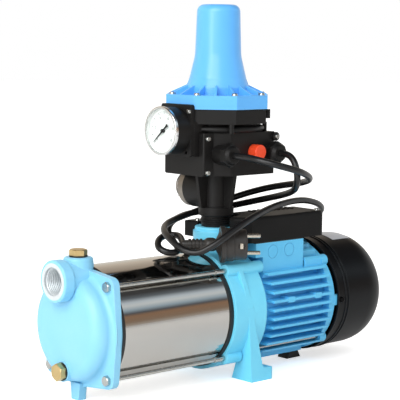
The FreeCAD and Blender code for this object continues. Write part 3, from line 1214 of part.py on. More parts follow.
def lead_parts():
    """Two leads and the mains plug."""
    write_cord("motor_lead", MOTOR_LEAD)
    write_cord("mains_lead", MAINS_LEAD)
    write("mains_plug", mains_plug())
    write("plug_pins", *plug_pins())


os.makedirs("parts", exist_ok=True)
pump_parts()
rotor_parts()
motor_parts()
terminal_parts()
controller_parts()
lead_parts()
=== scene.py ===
"""Looks of a horizontal multistage booster pump with a pressure controller on its discharge.

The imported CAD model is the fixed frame, and every piece made here rides on one of its bodies.
Lengths are in metres unless a name ends in _mm, X runs from the suction end to the fan end, and
Z is up. Colours are sRGB hex values.
"""
from __future__ import annotations

import logging
import math
from dataclasses import dataclass
from enum import Enum
from typing import Any

import bpy
import bmesh
from mathutils import Matrix, Vector

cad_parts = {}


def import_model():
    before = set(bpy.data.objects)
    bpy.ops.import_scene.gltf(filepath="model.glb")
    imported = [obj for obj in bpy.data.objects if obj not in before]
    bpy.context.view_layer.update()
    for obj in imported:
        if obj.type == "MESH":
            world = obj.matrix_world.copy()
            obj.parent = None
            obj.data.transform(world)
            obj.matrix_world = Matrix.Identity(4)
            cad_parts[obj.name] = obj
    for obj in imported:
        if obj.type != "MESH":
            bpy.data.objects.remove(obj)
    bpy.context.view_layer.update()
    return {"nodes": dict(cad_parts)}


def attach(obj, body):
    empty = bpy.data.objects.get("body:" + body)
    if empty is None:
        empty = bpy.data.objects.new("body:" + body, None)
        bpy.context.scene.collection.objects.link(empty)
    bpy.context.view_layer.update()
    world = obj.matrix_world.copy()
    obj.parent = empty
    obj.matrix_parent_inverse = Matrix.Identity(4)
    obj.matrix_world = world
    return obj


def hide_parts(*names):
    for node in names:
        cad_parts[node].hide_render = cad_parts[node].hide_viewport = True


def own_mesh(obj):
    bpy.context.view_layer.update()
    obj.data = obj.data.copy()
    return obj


LOG = logging.getLogger("booster_pump")
MM = 0.001
# Faces that meet at more than this stay crisp on a round piece
SHARP_DEG = 40
# An edge is rounded with this many rays. Its painted highlight colour shows from the first cosine
# between the rounded and the flat normal, reaches the share at the second, and never shows more.
EDGE_SAMPLES = 4
EDGE_FROM, EDGE_TO, EDGE_HIGHLIGHT_SHARE = 0.98, 0.8, 0.55
# The sRGB curve: a straight foot up to the knee, and a power above it
SRGB_KNEE, SRGB_FOOT, SRGB_LIFT, SRGB_SCALE, SRGB_POWER = 0.04045, 12.92, 0.055, 1.055, 2.4
# Places of the Mix node's sockets, which share their names
MIX_SHARE, FLOAT_A, FLOAT_B, COLOUR_A, COLOUR_B, MIXED_FLOAT, MIXED_COLOUR = 0, 2, 3, 6, 7, 0, 2

Point = tuple[float, float, float]
Sockets = dict[int | str, Any]


def linear(colour: str) -> tuple[float, float, float, float]:
    """Turns an sRGB hex value into the linear colour that a shader works in.

    Args:
        colour: Six hex digits after a number sign.

    Returns:
        Red, green, blue and an alpha of one.
    """
    channels = (int(colour[start:start + 2], 16) / 255 for start in (1, 3, 5))
    red, green, blue = (level / SRGB_FOOT if level <= SRGB_KNEE
                        else ((level + SRGB_LIFT) / SRGB_SCALE) ** SRGB_POWER for level in channels)
    return red, green, blue, 1.0


def add_node(tree: bpy.types.NodeTree, kind: str, values: Sockets | None = None,
             links: Sockets | None = None, **settings: Any) -> bpy.types.Node:
    """Adds one node with its settings and links.

    Args:
        tree: Where the node goes.
        kind: Its type name, without the leading ShaderNode.
        values: Input sockets by name or place, with the values they hold.
        links: Input sockets by name or place, with the output sockets that feed them.
        settings: The node's own properties.

    Returns:
        The new node.
    """
    node = tree.nodes.new("ShaderNode" + kind)
    for name, value in settings.items():
        setattr(node, name, value)
    for socket, value in (values or {}).items():
        node.inputs[socket].default_value = value
    for socket, source in (links or {}).items():
        tree.links.new(source, node.inputs[socket])
    return node


def join_rings(mesh: bmesh.types.BMesh, rings: list[list[bmesh.types.BMVert]],
               closed: bool = True) -> None:
    """Joins each ring of points to the next with four-sided faces.

    Args:
        mesh: The mesh that holds the points.
        rings: Rings of equally many points.
        closed: Whether the last point of a ring is joined to its first.
    """
    for ring, after in zip(rings, rings[1:]):
        for corner in range(len(ring) if closed else len(ring) - 1):
            following = (corner + 1) % len(ring)
            mesh.faces.new((ring[corner], ring[following], after[following], after[corner]))


@dataclass(frozen=True)
class Finish:
    """What a surface is made of and how it was made.

    Colour and shade are the two ends of its clouds. A grain is a bump, an edge is rounded and may
    carry a painted highlight colour, and drift is how far the roughness wanders to each side.
    """

    name: str
    colour: str
    shade: str
    roughness: float
    metallic: float = 0.0
    ior: float = 1.5
    specular: float = 0.5
    cloud_mm: float = 30.0
    grain_mm: float = 0.0
    grain_depth_mm: float = 0.0
    edge_mm: float = 0.0
    edge_colour: str = ""
    drift: float = 0.04

    def material(self) -> bpy.types.Material:
        """Makes the material the first time, and finds it again afterwards.

        Returns:
            The material.
        """
        made = bpy.data.materials.get(self.name)
        if made is not None:
            return made
        made = bpy.data.materials.new(self.name)
        made.use_nodes = True
        tree = made.node_tree
        shader = tree.nodes["Principled BSDF"]
        shader.inputs["Metallic"].default_value = self.metallic
        shader.inputs["IOR"].default_value = self.ior
        shader.inputs["Roughness"].default_value = self.roughness
        shader.inputs["Specular IOR Level"].default_value = self.specular
        place = add_node(tree, "TexCoord").outputs["Object"]
        self.tint(tree, shader, place)
        self.relief(tree, shader, place)
        return made

    def tint(self, tree: bpy.types.NodeTree, shader: bpy.types.Node,
             place: bpy.types.NodeSocket) -> None:
        """Lets colour and gloss drift in soft clouds, as one batch of finish does.

        Args:
            tree: The material's nodes.
            shader: Its surface shader.
            place: Position on the object, in metres.
        """
        clouds = add_node(tree, "TexNoise", {"Scale": 1 / (self.cloud_mm * MM), "Detail": 2.0},
                          {"Vector": place}).outputs["Fac"]
        mix = add_node(tree, "Mix", {COLOUR_A: linear(self.colour), COLOUR_B: linear(self.shade)},
                       {MIX_SHARE: clouds}, data_type="RGBA")
        gloss = add_node(tree, "MapRange", {"To Min": self.roughness - self.drift,
                                            "To Max": self.roughness + self.drift},
                         {"Value": clouds})
        tree.links.new(gloss.outputs["Result"], shader.inputs["Roughness"])
        colour = mix.outputs[MIXED_COLOUR]
        # Sharp edges get a painted highlight colour
        if self.edge_colour:
            colour = self.thin_edges(tree, colour)
        tree.links.new(colour, shader.inputs["Base Color"])

    def thin_edges(self, tree: bpy.types.NodeTree,
                   colour: bpy.types.NodeSocket) -> bpy.types.NodeSocket:
        """Paints a highlight on sharp edges, where the rounded normal turns away from the flat one.

        Args:
            tree: The material's nodes.
            colour: The paint's colour away from the edges.

        Returns:
            The colour with its painted edge highlights.
        """
        rounded = add_node(tree, "Bevel", {"Radius": self.edge_mm * MM}, samples=EDGE_SAMPLES)
        flat = add_node(tree, "NewGeometry")
        bend = add_node(tree, "VectorMath", {}, {0: rounded.outputs["Normal"],
                                                 1: flat.outputs["Normal"]},
                        operation="DOT_PRODUCT")
        rim = add_node(tree, "MapRange", {"From Min": EDGE_FROM, "From Max": EDGE_TO,
                                          "To Max": EDGE_HIGHLIGHT_SHARE}, {"Value": bend.outputs["Value"]})
        mix = add_node(tree, "Mix", {COLOUR_B: linear(self.edge_colour)},
                       {MIX_SHARE: rim.outputs["Result"], COLOUR_A: colour}, data_type="RGBA")
        return mix.outputs[MIXED_COLOUR]

    def relief(self, tree: bpy.types.NodeTree, shader: bpy.types.Node,
               place: bpy.types.NodeSocket) -> None:
        """Rounds the edges and raises the grain that the making of the surface leaves.

        Args:
            tree: The material's nodes.
            shader: Its surface shader.
            place: Position on the object, in metres.
        """
        links: Sockets = {}
        if self.edge_mm:
            edge = add_node(tree, "Bevel", {"Radius": self.edge_mm * MM}, samples=EDGE_SAMPLES)
            links["Normal"] = edge.outputs["Normal"]
        if self.grain_mm:
            grain = add_node(tree, "TexNoise", {"Scale": 1 / (self.grain_mm * MM), "Detail": 3.0},
                             {"Vector": place})
            links["Height"] = grain.outputs["Fac"]
            bump = add_node(tree, "Bump", {"Distance": self.grain_depth_mm * MM, "Strength": 1.0},
                            links)
            tree.links.new(bump.outputs["Normal"], shader.inputs["Normal"])
        elif links:
            tree.links.new(links["Normal"], shader.inputs["Normal"])

    def dress(self, *things: bpy.types.Object) -> None:
        """Gives this finish to whole objects.

        Args:
            things: The objects.
        """
        for thing in things:
            thing.data.materials.clear()
            thing.data.materials.append(self.material())


@dataclass(frozen=True)
class RolledSheet(Finish):
    """Metal sheet that was rolled and polished: mirror-bright, with fine lines round the barrel."""

    line_mm: float = 0.9
    line_length_mm: float = 60.0
    line_depth_mm: float = 0.0006

    def relief(self, tree: bpy.types.NodeTree, shader: bpy.types.Node,
               place: bpy.types.NodeSocket) -> None:
        """Draws the polishing lines, short across the shaft and long round it.

        Args:
            tree: The material's nodes.
            shader: Its surface shader.
            place: Position on the object, in metres.
        """
        across, round_it = 1 / (self.line_mm * MM), 1 / (self.line_length_mm * MM)
        stretched = add_node(tree, "Mapping", {"Scale": (across, round_it, round_it)},
                             {"Vector": place})
        lines = add_node(tree, "TexNoise", {"Scale": 1.0, "Detail": 2.0},
                         {"Vector": stretched.outputs["Vector"]})
        bump = add_node(tree, "Bump", {"Distance": self.line_depth_mm * MM, "Strength": 1.0},
                        {"Height": lines.outputs["Fac"]})
        tree.links.new(bump.outputs["Normal"], shader.inputs["Normal"])


# Each finish is named after its material and how it was made, and the comment over it says what
# that gives the eye.

# Sand-cast iron under satin enamel: the sand leaves lumps of about 2 mm that the paint softens, and
# the edges carry a painted highlight. The head's enamel is the motor's, painted paler for the
# stronger light on the head
CAST_IRON_HEAD_PAINTED_LIGHTER = Finish("satin_enamel_on_cast_iron_head_painted_lighter", "#92d2f0", "#84cbee", 0.36, grain_mm=2.2,
                        grain_depth_mm=0.12, edge_mm=1.4, edge_colour="#b4ebfb")
# The adapter's enamel is the motor's too, painted paler for the light on it, with a painted edge
# highlight
CAST_IRON_ADAPTER_PAINTED_LIGHTER = Finish("satin_enamel_on_cast_iron_adapter_painted_lighter", "#7bdcf8", "#6dd2f5", 0.38,
                           grain_mm=2.2, grain_depth_mm=0.1, edge_mm=1.2, edge_colour="#93e2fa")
# Pressure-cast aluminium under the same enamel: finer skin and sharper fins, and a painted
# highlight on the edges
CAST_ALUMINIUM = Finish("satin_enamel_on_cast_aluminium", "#64c9f5", "#58c0f0", 0.38, grain_mm=1.2,
                        grain_depth_mm=0.04, edge_mm=0.6, edge_colour="#8ad8f8")
# Injection-moulded ABS coloured in the mass: smooth, a soft sheen and nearly one colour, with a
# painted highlight on the edges
BLUE_ABS = Finish("moulded_abs_blue", "#66b9fa", "#5cb1f7", 0.3, ior=1.53, grain_mm=0.8,
                  grain_depth_mm=0.01, edge_mm=0.6, edge_colour="#93d8fd")
# Glass-filled nylon from a spark-eroded mould: dull, with a grain of about 0.6 mm and a painted
# highlight on the edges
BLACK_NYLON = Finish("moulded_glass_filled_nylon", "#171615", "#121111", 0.46, ior=1.53,
                     specular=0.22, grain_mm=0.6, grain_depth_mm=0.03, edge_mm=0.5,
                     edge_colour="#2c2b29")
# The terminal cover's nylon is duller and has no brown in it; its edges carry a painted highlight
COVER_NYLON = Finish("moulded_nylon_cover", "#1b1b1b", "#161616", 0.5, ior=1.53, specular=0.1,
                     grain_mm=0.7, grain_depth_mm=0.03, edge_mm=0.8, edge_colour="#2d2c2a")
# Moulded cover painted satin black: it keeps long soft highlights, and its edges carry a painted
# bluish reflection of the blue frame
FAN_COVER_PAINT = Finish("satin_black_on_moulded_cover", "#0c0e11", "#090a0c", 0.34, specular=0.16,
                         grain_mm=0.9, grain_depth_mm=0.012, edge_mm=0.8, edge_colour="#1a2830")
# Bright-rolled sheet that was polished round: it mirrors the room in bands along the barrel
STAINLESS = RolledSheet("rolled_and_polished_stainless", "#c0bdb8", "#b9b6b2", 0.08, metallic=1.0,
                        cloud_mm=60, drift=0.02)
# Bright zinc on drawn steel: a clear shine, cloudy from one screw to the next
ZINC = Finish("bright_zinc_plated_steel", "#c6c6c2", "#a9aaa6", 0.26, metallic=1.0, cloud_mm=6,
              edge_mm=0.2)
# Pressed aluminium plate with a satin anodised skin: pale and even
PLATE_ALUMINIUM = Finish("satin_anodised_aluminium_plate", "#dfe3ea", "#d3d8e0", 0.5, metallic=0.5,
                         cloud_mm=15, edge_mm=0.2)
# Blackened and oiled steel: dark, with a metal's sheen
BLACK_OXIDE = Finish("black_oxide_steel", "#1c1c1d", "#151516", 0.42, metallic=1.0, cloud_mm=4)
# The port's faces are cut after painting and zinc plated: pale, matte and a little blue
CUT_IRON = Finish("zinc_plated_cut_iron", "#dde2e4", "#ced5d8", 0.45, metallic=0.3, cloud_mm=5,
                  grain_mm=0.8, grain_depth_mm=0.01)
# Brass as it was turned, with brighter corners, partly where a spanner rubbed and partly a painted
# edge highlight
BRASS = Finish("turned_brass", "#d9c08c", "#c9ae78", 0.36, metallic=1.0, cloud_mm=8, edge_mm=0.3,
               edge_colour="#efe0b8")
# Satin chrome: pale, and softer than a mirror
CHROME = Finish("satin_chrome_on_brass", "#e4e4e3", "#dcdcdc", 0.22, metallic=1.0, cloud_mm=20)
# The plug's pins are nickel plated and a little yellow
NICKEL = Finish("nickel_plated_brass", "#cfc7ba", "#c2b9ab", 0.24, metallic=1.0, cloud_mm=5)
# The side port's insert is cast zinc alloy that has dulled
ZINC_ALLOY = Finish("dulled_zinc_alloy", "#9a948c", "#868079", 0.38, metallic=1.0, cloud_mm=6)
# Plain turned steel: grey, with a broad highlight
TURNED_STEEL = Finish("turned_steel", "#a3a3a1", "#8f908e", 0.32, metallic=1.0, cloud_mm=8)
# Hard-drawn wire under clear zinc: long thin highlights round the coils
SPRING_WIRE = Finish("zinc_plated_spring_wire", "#9c9c9a", "#88898a", 0.3, metallic=1.0, cloud_mm=6)
# Enamelled copper wire: red-brown under a thin lacquer
COPPER = Finish("lacquered_copper_winding", "#a8592c", "#934a22", 0.3, metallic=1.0, cloud_mm=3)
# Moulded rubber: matte and almost black
NITRILE = Finish("moulded_nitrile_rubber", "#171818", "#121212", 0.6, ior=1.52, cloud_mm=10,
                 grain_mm=0.5, grain_depth_mm=0.02)
# Soft PVC over the wires: almost smooth, with long highlights along the lead
PVC = Finish("extruded_pvc_jacket", "#161617", "#111112", 0.32, ior=1.53, specular=0.4, cloud_mm=12,
             grain_mm=0.7, grain_depth_mm=0.015)
# The plug's PVC is harder, greyer and duller than the lead's, with a painted highlight on its edges
PLUG_PVC = Finish("moulded_pvc_plug", "#33302d", "#2b2826", 0.4, ior=1.53, specular=0.4,
                  cloud_mm=10, grain_mm=0.6, grain_depth_mm=0.02, edge_mm=0.4,
                  edge_colour="#454240")
# Glass-filled plastic of the stages: dull dark grey
STAGE_PLASTIC = Finish("moulded_ppo_stage", "#2b2b2d", "#242426", 0.5, ior=1.57,
                       grain_mm=0.6, grain_depth_mm=0.02)
# Green solder mask over glass cloth: even and a little shiny
BOARD = Finish("epoxy_glass_board", "#1f5a34", "#1a4d2c", 0.35, ior=1.55, cloud_mm=4)
# Moulded polypropylene: a strong red with a waxy sheen
RED_BUTTON = Finish("moulded_polypropylene_red", "#f4512b", "#ec4824", 0.36, ior=1.49,
                    grain_mm=0.8, grain_depth_mm=0.01, edge_mm=0.5)
# The gauge: a flat white dial, a black pointer and two red marks
DIAL_ENAMEL = Finish("white_enamel_dial", "#f6f6f4", "#f1f1f0", 0.5, cloud_mm=20)
POINTER_BLACK = Finish("black_enamel_on_aluminium", "#151515", "#101010", 0.45, cloud_mm=5)
DIAL_RED = Finish("red_printing_ink", "#e0566a", "#d94d61", 0.5, cloud_mm=5)


@dataclass(frozen=True)
class ClearLens(Finish):
    """Cast polycarbonate lens: clear, thin and shiny.

    It is a flat sheet that hardly bends what lies behind it, so its index is near one.
    """

    def tint(self, tree: bpy.types.NodeTree, shader: bpy.types.Node,
             place: bpy.types.NodeSocket) -> None:
        """Lets light through, and keeps the faint clouds of a handled lens."""
        super().tint(tree, shader, place)
        shader.inputs["Transmission Weight"].default_value = 1.0


LENS = ClearLens("cast_polycarbonate_lens", "#f7faf9", "#f2f6f5", 0.02, ior=1.05, cloud_mm=15)

# What each CAD node wears. The leads and the pressure spring are drawn anew further down.
FINISHES: dict[str, Finish] = {
    "pump_head": CAST_IRON_HEAD_PAINTED_LIGHTER, "filler_plug": BRASS, "drain_plug": BRASS, "plug_seals": NITRILE,
    "head_gasket": NITRILE, "barrel_sleeve": STAINLESS, "adapter_gasket": NITRILE,
    "tie_bolts": ZINC, "adapter_casting": CAST_IRON_ADAPTER_PAINTED_LIGHTER, "shaft": TURNED_STEEL,
    "seal_rotor": NITRILE, "seal_seat": TURNED_STEEL, "shaft_bearings": TURNED_STEEL,
    "rotor_core": TURNED_STEEL, "cooling_fan": BLACK_NYLON, "stator_core": TURNED_STEEL,
    "stator_windings": COPPER, "motor_frame": CAST_ALUMINIUM, "end_shield": CAST_ALUMINIUM,
    "frame_bolts": ZINC, "fan_cover": FAN_COVER_PAINT, "fan_cover_screws": BLACK_OXIDE,
    "rear_foot": NITRILE, "terminal_gasket": NITRILE, "terminal_cover": COVER_NYLON,
    "terminal_screws": ZINC, "terminal_gland": BLACK_NYLON, "capacitor": BLACK_NYLON,
    "terminal_block": BLACK_NYLON, "controller_body": BLACK_NYLON, "spring_housing": BLUE_ABS,
    "housing_screws": ZINC, "diaphragm": NITRILE, "spring_plate": TURNED_STEEL,
    "flow_valve": BLACK_NYLON, "outlet_insert": ZINC_ALLOY,
    "switch_cover": BLACK_NYLON, "cover_screws": ZINC, "circuit_board": BOARD,
    "gauge_case": BLACK_NYLON, "gauge_bezel": CHROME, "gauge_dial": DIAL_ENAMEL,
    "gauge_pointer": POINTER_BLACK, "gauge_lens": LENS, "reset_button": RED_BUTTON,
    "cable_glands": BLACK_NYLON, "mains_plug": PLUG_PVC, "plug_pins": NICKEL,
}
FINISHES.update({f"diffuser_{stage}": STAGE_PLASTIC for stage in (1, 2, 3, 4)})
FINISHES.update({f"impeller_{stage}": STAGE_PLASTIC for stage in (1, 2, 3, 4)})


@dataclass(frozen=True)
class Viewpoint:
    """The photograph's camera, as a place, three angles in degrees and a focal length."""

    place: Point = (-1.09528, -1.16266, 0.38029)
    yaw: float = 42.096
    pitch: float = -6.525
    roll: float = 0.688
    focal_px: float = 1399.69
    frame_px: int = 400
    sensor_mm: float = 36.0

    def aim(self) -> None:
        """Makes the camera and gives it to the scene."""
        yaw, pitch, roll = (math.radians(angle) for angle in (self.yaw, self.pitch, self.roll))
        ahead = Vector((math.sin(yaw) * math.cos(pitch), math.cos(yaw) * math.cos(pitch),
                        math.sin(pitch)))
        level = Vector((math.cos(yaw), -math.sin(yaw), 0))
        upright = level.cross(ahead)
        right = level * math.cos(roll) + upright * math.sin(roll)
        up = upright * math.cos(roll) - level * math.sin(roll)
        data = bpy.data.cameras.new("photograph")
        data.sensor_width = self.sensor_mm
        data.lens = self.focal_px / self.frame_px * self.sensor_mm
        camera = bpy.data.objects.new("photograph", data)
        turn = Matrix((right, up, -ahead)).transposed().to_4x4()
        camera.matrix_world = Matrix.Translation(self.place) @ turn
        bpy.context.scene.collection.objects.link(camera)
        bpy.context.scene.camera = camera


def mesh_piece(name: str, mesh: bmesh.types.BMesh, finish: Finish, body: str,
               smooth: bool = True) -> bpy.types.Object:
    """Turns a built mesh into a dressed piece on a CAD body.

    Args:
        name: The piece's name.
        mesh: Its geometry, in metres, which this frees.
        finish: Its finish.
        body: The CAD body that it rides on.
        smooth: Whether its faces shade as one round surface.

    Returns:
        The piece.
    """
    bmesh.ops.recalc_face_normals(mesh, faces=mesh.faces)
    for face in mesh.faces:
        face.smooth = smooth
    data = bpy.data.meshes.new(name)
    mesh.to_mesh(data)
    mesh.free()
    if smooth:
        data.set_sharp_from_angle(angle=math.radians(SHARP_DEG))
    piece = bpy.data.objects.new(name, data)
    bpy.context.scene.collection.objects.link(piece)
    finish.dress(piece)
    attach(piece, body)
    LOG.info("%s: %d faces on %s", name, len(data.polygons), body)
    return piece


def square_to(axis: Vector) -> tuple[Vector, Vector]:
    """Gives two directions that are square to an axis and to each other, all of them one long."""
    side = axis.orthogonal().normalized()
    return side, axis.cross(side)


@dataclass(frozen=True)
class PipeThread:
    """The turns of a one-inch pipe thread that show, as one ridge wound round its axis.

    Root is the radius that the ridge stands on, and crest how far it stands out, below zero in a
    bore. Each flank is a share of the pitch along the axis and a share of the crest.
    """

    name: str
    foot_mm: Point
    axis: Point
    root_mm: float
    crest_mm: float
    length_mm: float
    finish: Finish
    slot: str
    pitch_mm: float = 2.309
    flanks: tuple[tuple[float, float], ...] = ((-0.46, 0.0), (-0.12, 1.0), (0.12, 1.0), (0.46, 0.0))
    runout_turns: float = 0.5
    steps: int = 40

    def cut(self) -> None:
        """Winds the ridge, thin at both ends, and puts it on the pump."""
        mesh = bmesh.new()
        along = Vector(self.axis)
        side, other = square_to(along)
        count = int(self.length_mm / self.pitch_mm * self.steps)
        runout = self.runout_turns * self.steps
        rings = []
        for step in range(count + 1):
            turn = 2 * math.pi * step / self.steps
            fade = min(1.0, step / runout, (count - step) / runout)
            out = side * math.cos(turn) + other * math.sin(turn)
            rise = self.pitch_mm * step / self.steps
            ring = []
            for shift, height in self.flanks:
                radius = self.root_mm + self.crest_mm * height * fade
                place = Vector(self.foot_mm) + along * (rise + shift * self.pitch_mm) + out * radius
                ring.append(mesh.verts.new(place * MM))
            rings.append(ring)
        join_rings(mesh, rings, closed=False)
        for end in (rings[0], rings[-1]):
            mesh.faces.new(end)
        mesh_piece(self.name, mesh, self.finish, "pump")


@dataclass(frozen=True)
class TurnedPiece:
    """A piece turned about an axis, given by its closed section as (along, radius) corners."""

    name: str
    foot_mm: Point
    axis: Point
    section_mm: tuple[tuple[float, float], ...]
    finish: Finish
    slot: str
    steps: int = 96

    def turn(self) -> None:
        """Turns the section into a ring and puts it on the pump."""
        mesh = bmesh.new()
        along = Vector(self.axis)
        side, other = square_to(along)
        rings = []
        for step in range(self.steps):
            angle = 2 * math.pi * step / self.steps
            out = side * math.cos(angle) + other * math.sin(angle)
            rings.append([mesh.verts.new((Vector(self.foot_mm) + along * depth + out * radius) * MM)
                          for depth, radius in self.section_mm])
        join_rings(mesh, rings + rings[:1])
        mesh_piece(self.name, mesh, self.finish, "pump")


@dataclass(frozen=True)
class CoilSpring:
    """A round-wire spring with closed ends, wound at one length. The real one shortens while the
    plate under it rises.
    """

    name: str = "pressure_spring_coil"
    foot_mm: Point = (-20.0, 0.0, 310.4)
    tall_mm: float = 95.6
    coil_radius_mm: float = 13.0
    wire_radius_mm: float = 2.0
    turns: int = 12
    closed_pitch_mm: float = 4.05
    travel_mm: float = 3.0
    steps: int = 32
    sides: int = 10

    def height(self, turn: float) -> float:
        """Gives the wire's height over the spring's foot, in millimetres.

        Args:
            turn: How far along the wire, in turns from its lower end.

        Returns:
            The height, which rises slowly in the first and the last turn and evenly in between.
        """
        open_turns = self.turns - 2
        free = self.tall_mm - 2 * self.wire_radius_mm - 2 * self.closed_pitch_mm
        closed = min(turn, 1.0) + max(turn - 1 - open_turns, 0.0)
        opened = min(max(turn - 1, 0.0), open_turns)
        return self.wire_radius_mm + closed * self.closed_pitch_mm + opened * free / open_turns

    def wind(self) -> None:
        """Winds the wire, hides the CAD model's spring and gives the coil a mesh of its own."""
        mesh = bmesh.new()
        foot, up = Vector(self.foot_mm), Vector((0, 0, 1))
        rings = []
        for step in range(self.turns * self.steps + 1):
            turn = step / self.steps
            angle = 2 * math.pi * turn
            out = Vector((math.cos(angle), math.sin(angle), 0))
            centre = foot + out * self.coil_radius_mm + up * self.height(turn)
            ring = []
            for side in range(self.sides):
                around = 2 * math.pi * side / self.sides
                way = out * math.cos(around) + up * math.sin(around)
                ring.append(mesh.verts.new((centre + way * self.wire_radius_mm) * MM))
            rings.append(ring)
        join_rings(mesh, rings)
        for end in (rings[0], rings[-1]):
            mesh.faces.new(end)
        spring = mesh_piece(self.name, mesh, SPRING_WIRE, "pump")
        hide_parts("pressure_spring")
        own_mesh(spring)


@dataclass(frozen=True)
class RatingPlate:
    """A bare aluminium plate that is bent over the top of the fan cover.

    The cover is straight up to its nose, which follows a curve with four poles of (x, radius).
    """

    axis_z_mm: float = 78.0
    radius_mm: float = 68.0
    nose_start_mm: float = 171.0
    nose_poles_mm: tuple[tuple[float, float], ...] = ((171.0, 68.0), (191.0, 68.0), (205.0, 58.0),
                                                      (205.0, 45.0))
    start_mm: float = 150.0
    nose_share: float = 0.17
    straight_parts: int = 3
    nose_parts: int = 4
    low_deg: float = 69.0
    high_deg: float = 116.0
    lift_mm: float = 0.05
    thick_mm: float = 0.4
    steps: int = 28

    def profile(self) -> list[tuple[float, float]]:
        """Follows the cover's outside under the plate.

        Returns:
            Its (x, radius) points, from the side of the rim to the nose.
        """
        reach = self.nose_start_mm - self.start_mm
        points = [(self.start_mm + reach * part / self.straight_parts, self.radius_mm)
                  for part in range(self.straight_parts)]
        for part in range(self.nose_parts + 1):
            share = self.nose_share * part / self.nose_parts
            rest = 1 - share
            weights = (rest ** 3, 3 * rest ** 2 * share, 3 * rest * share ** 2, share ** 3)
            points.append((sum(w * x for w, (x, _) in zip(weights, self.nose_poles_mm)),
                           sum(w * radius for w, (_, radius) in zip(weights, self.nose_poles_mm))))
        return points

    def press(self) -> None:
        """Bends the plate over the cover."""
        mesh = bmesh.new()
        sheets = [[[self.corner(mesh, x, radius + lift, step) for step in range(self.steps + 1)]
                   for x, radius in self.profile()]
                  for lift in (self.lift_mm, self.lift_mm + self.thick_mm)]
        for sheet in sheets:
            join_rings(mesh, sheet, closed=False)
        self.close_rim(mesh, sheets)
        mesh_piece("rating_plate", mesh, PLATE_ALUMINIUM, "pump", smooth=False)

    def corner(self, mesh: bmesh.types.BMesh, x: float, radius: float,
               step: int) -> bmesh.types.BMVert:
        """Adds one point of the plate.

        Args:
            mesh: Where it is added.
            x: Its place along the shaft, in millimetres.
            radius: Its distance from the shaft's axis.
            step: Its place round the cover.

        Returns:
            The new point.
        """
        angle = math.radians(self.low_deg + (self.high_deg - self.low_deg) * step / self.steps)
        return mesh.verts.new(Vector((x, -radius * math.cos(angle),
                                      self.axis_z_mm + radius * math.sin(angle))) * MM)

    def close_rim(self, mesh: bmesh.types.BMesh,
                  sheets: list[list[list[bmesh.types.BMVert]]]) -> None:
        """Joins the plate's two sides round its edge.

        Args:
            mesh: The plate's mesh.
            sheets: Its lower and upper grids of points.
        """
        under, over = sheets
        last = len(under) - 1
        edge = [(0, step) for step in range(self.steps)]
        edge += [(ring, self.steps) for ring in range(last)]
        edge += [(last, step) for step in range(self.steps, 0, -1)]
        edge += [(ring, 0) for ring in range(last, 0, -1)]
        for (ring, step), (ring_after, step_after) in zip(edge, edge[1:] + edge[:1]):
            mesh.faces.new((under[ring][step], under[ring_after][step_after],
                            over[ring_after][step_after], over[ring][step]))


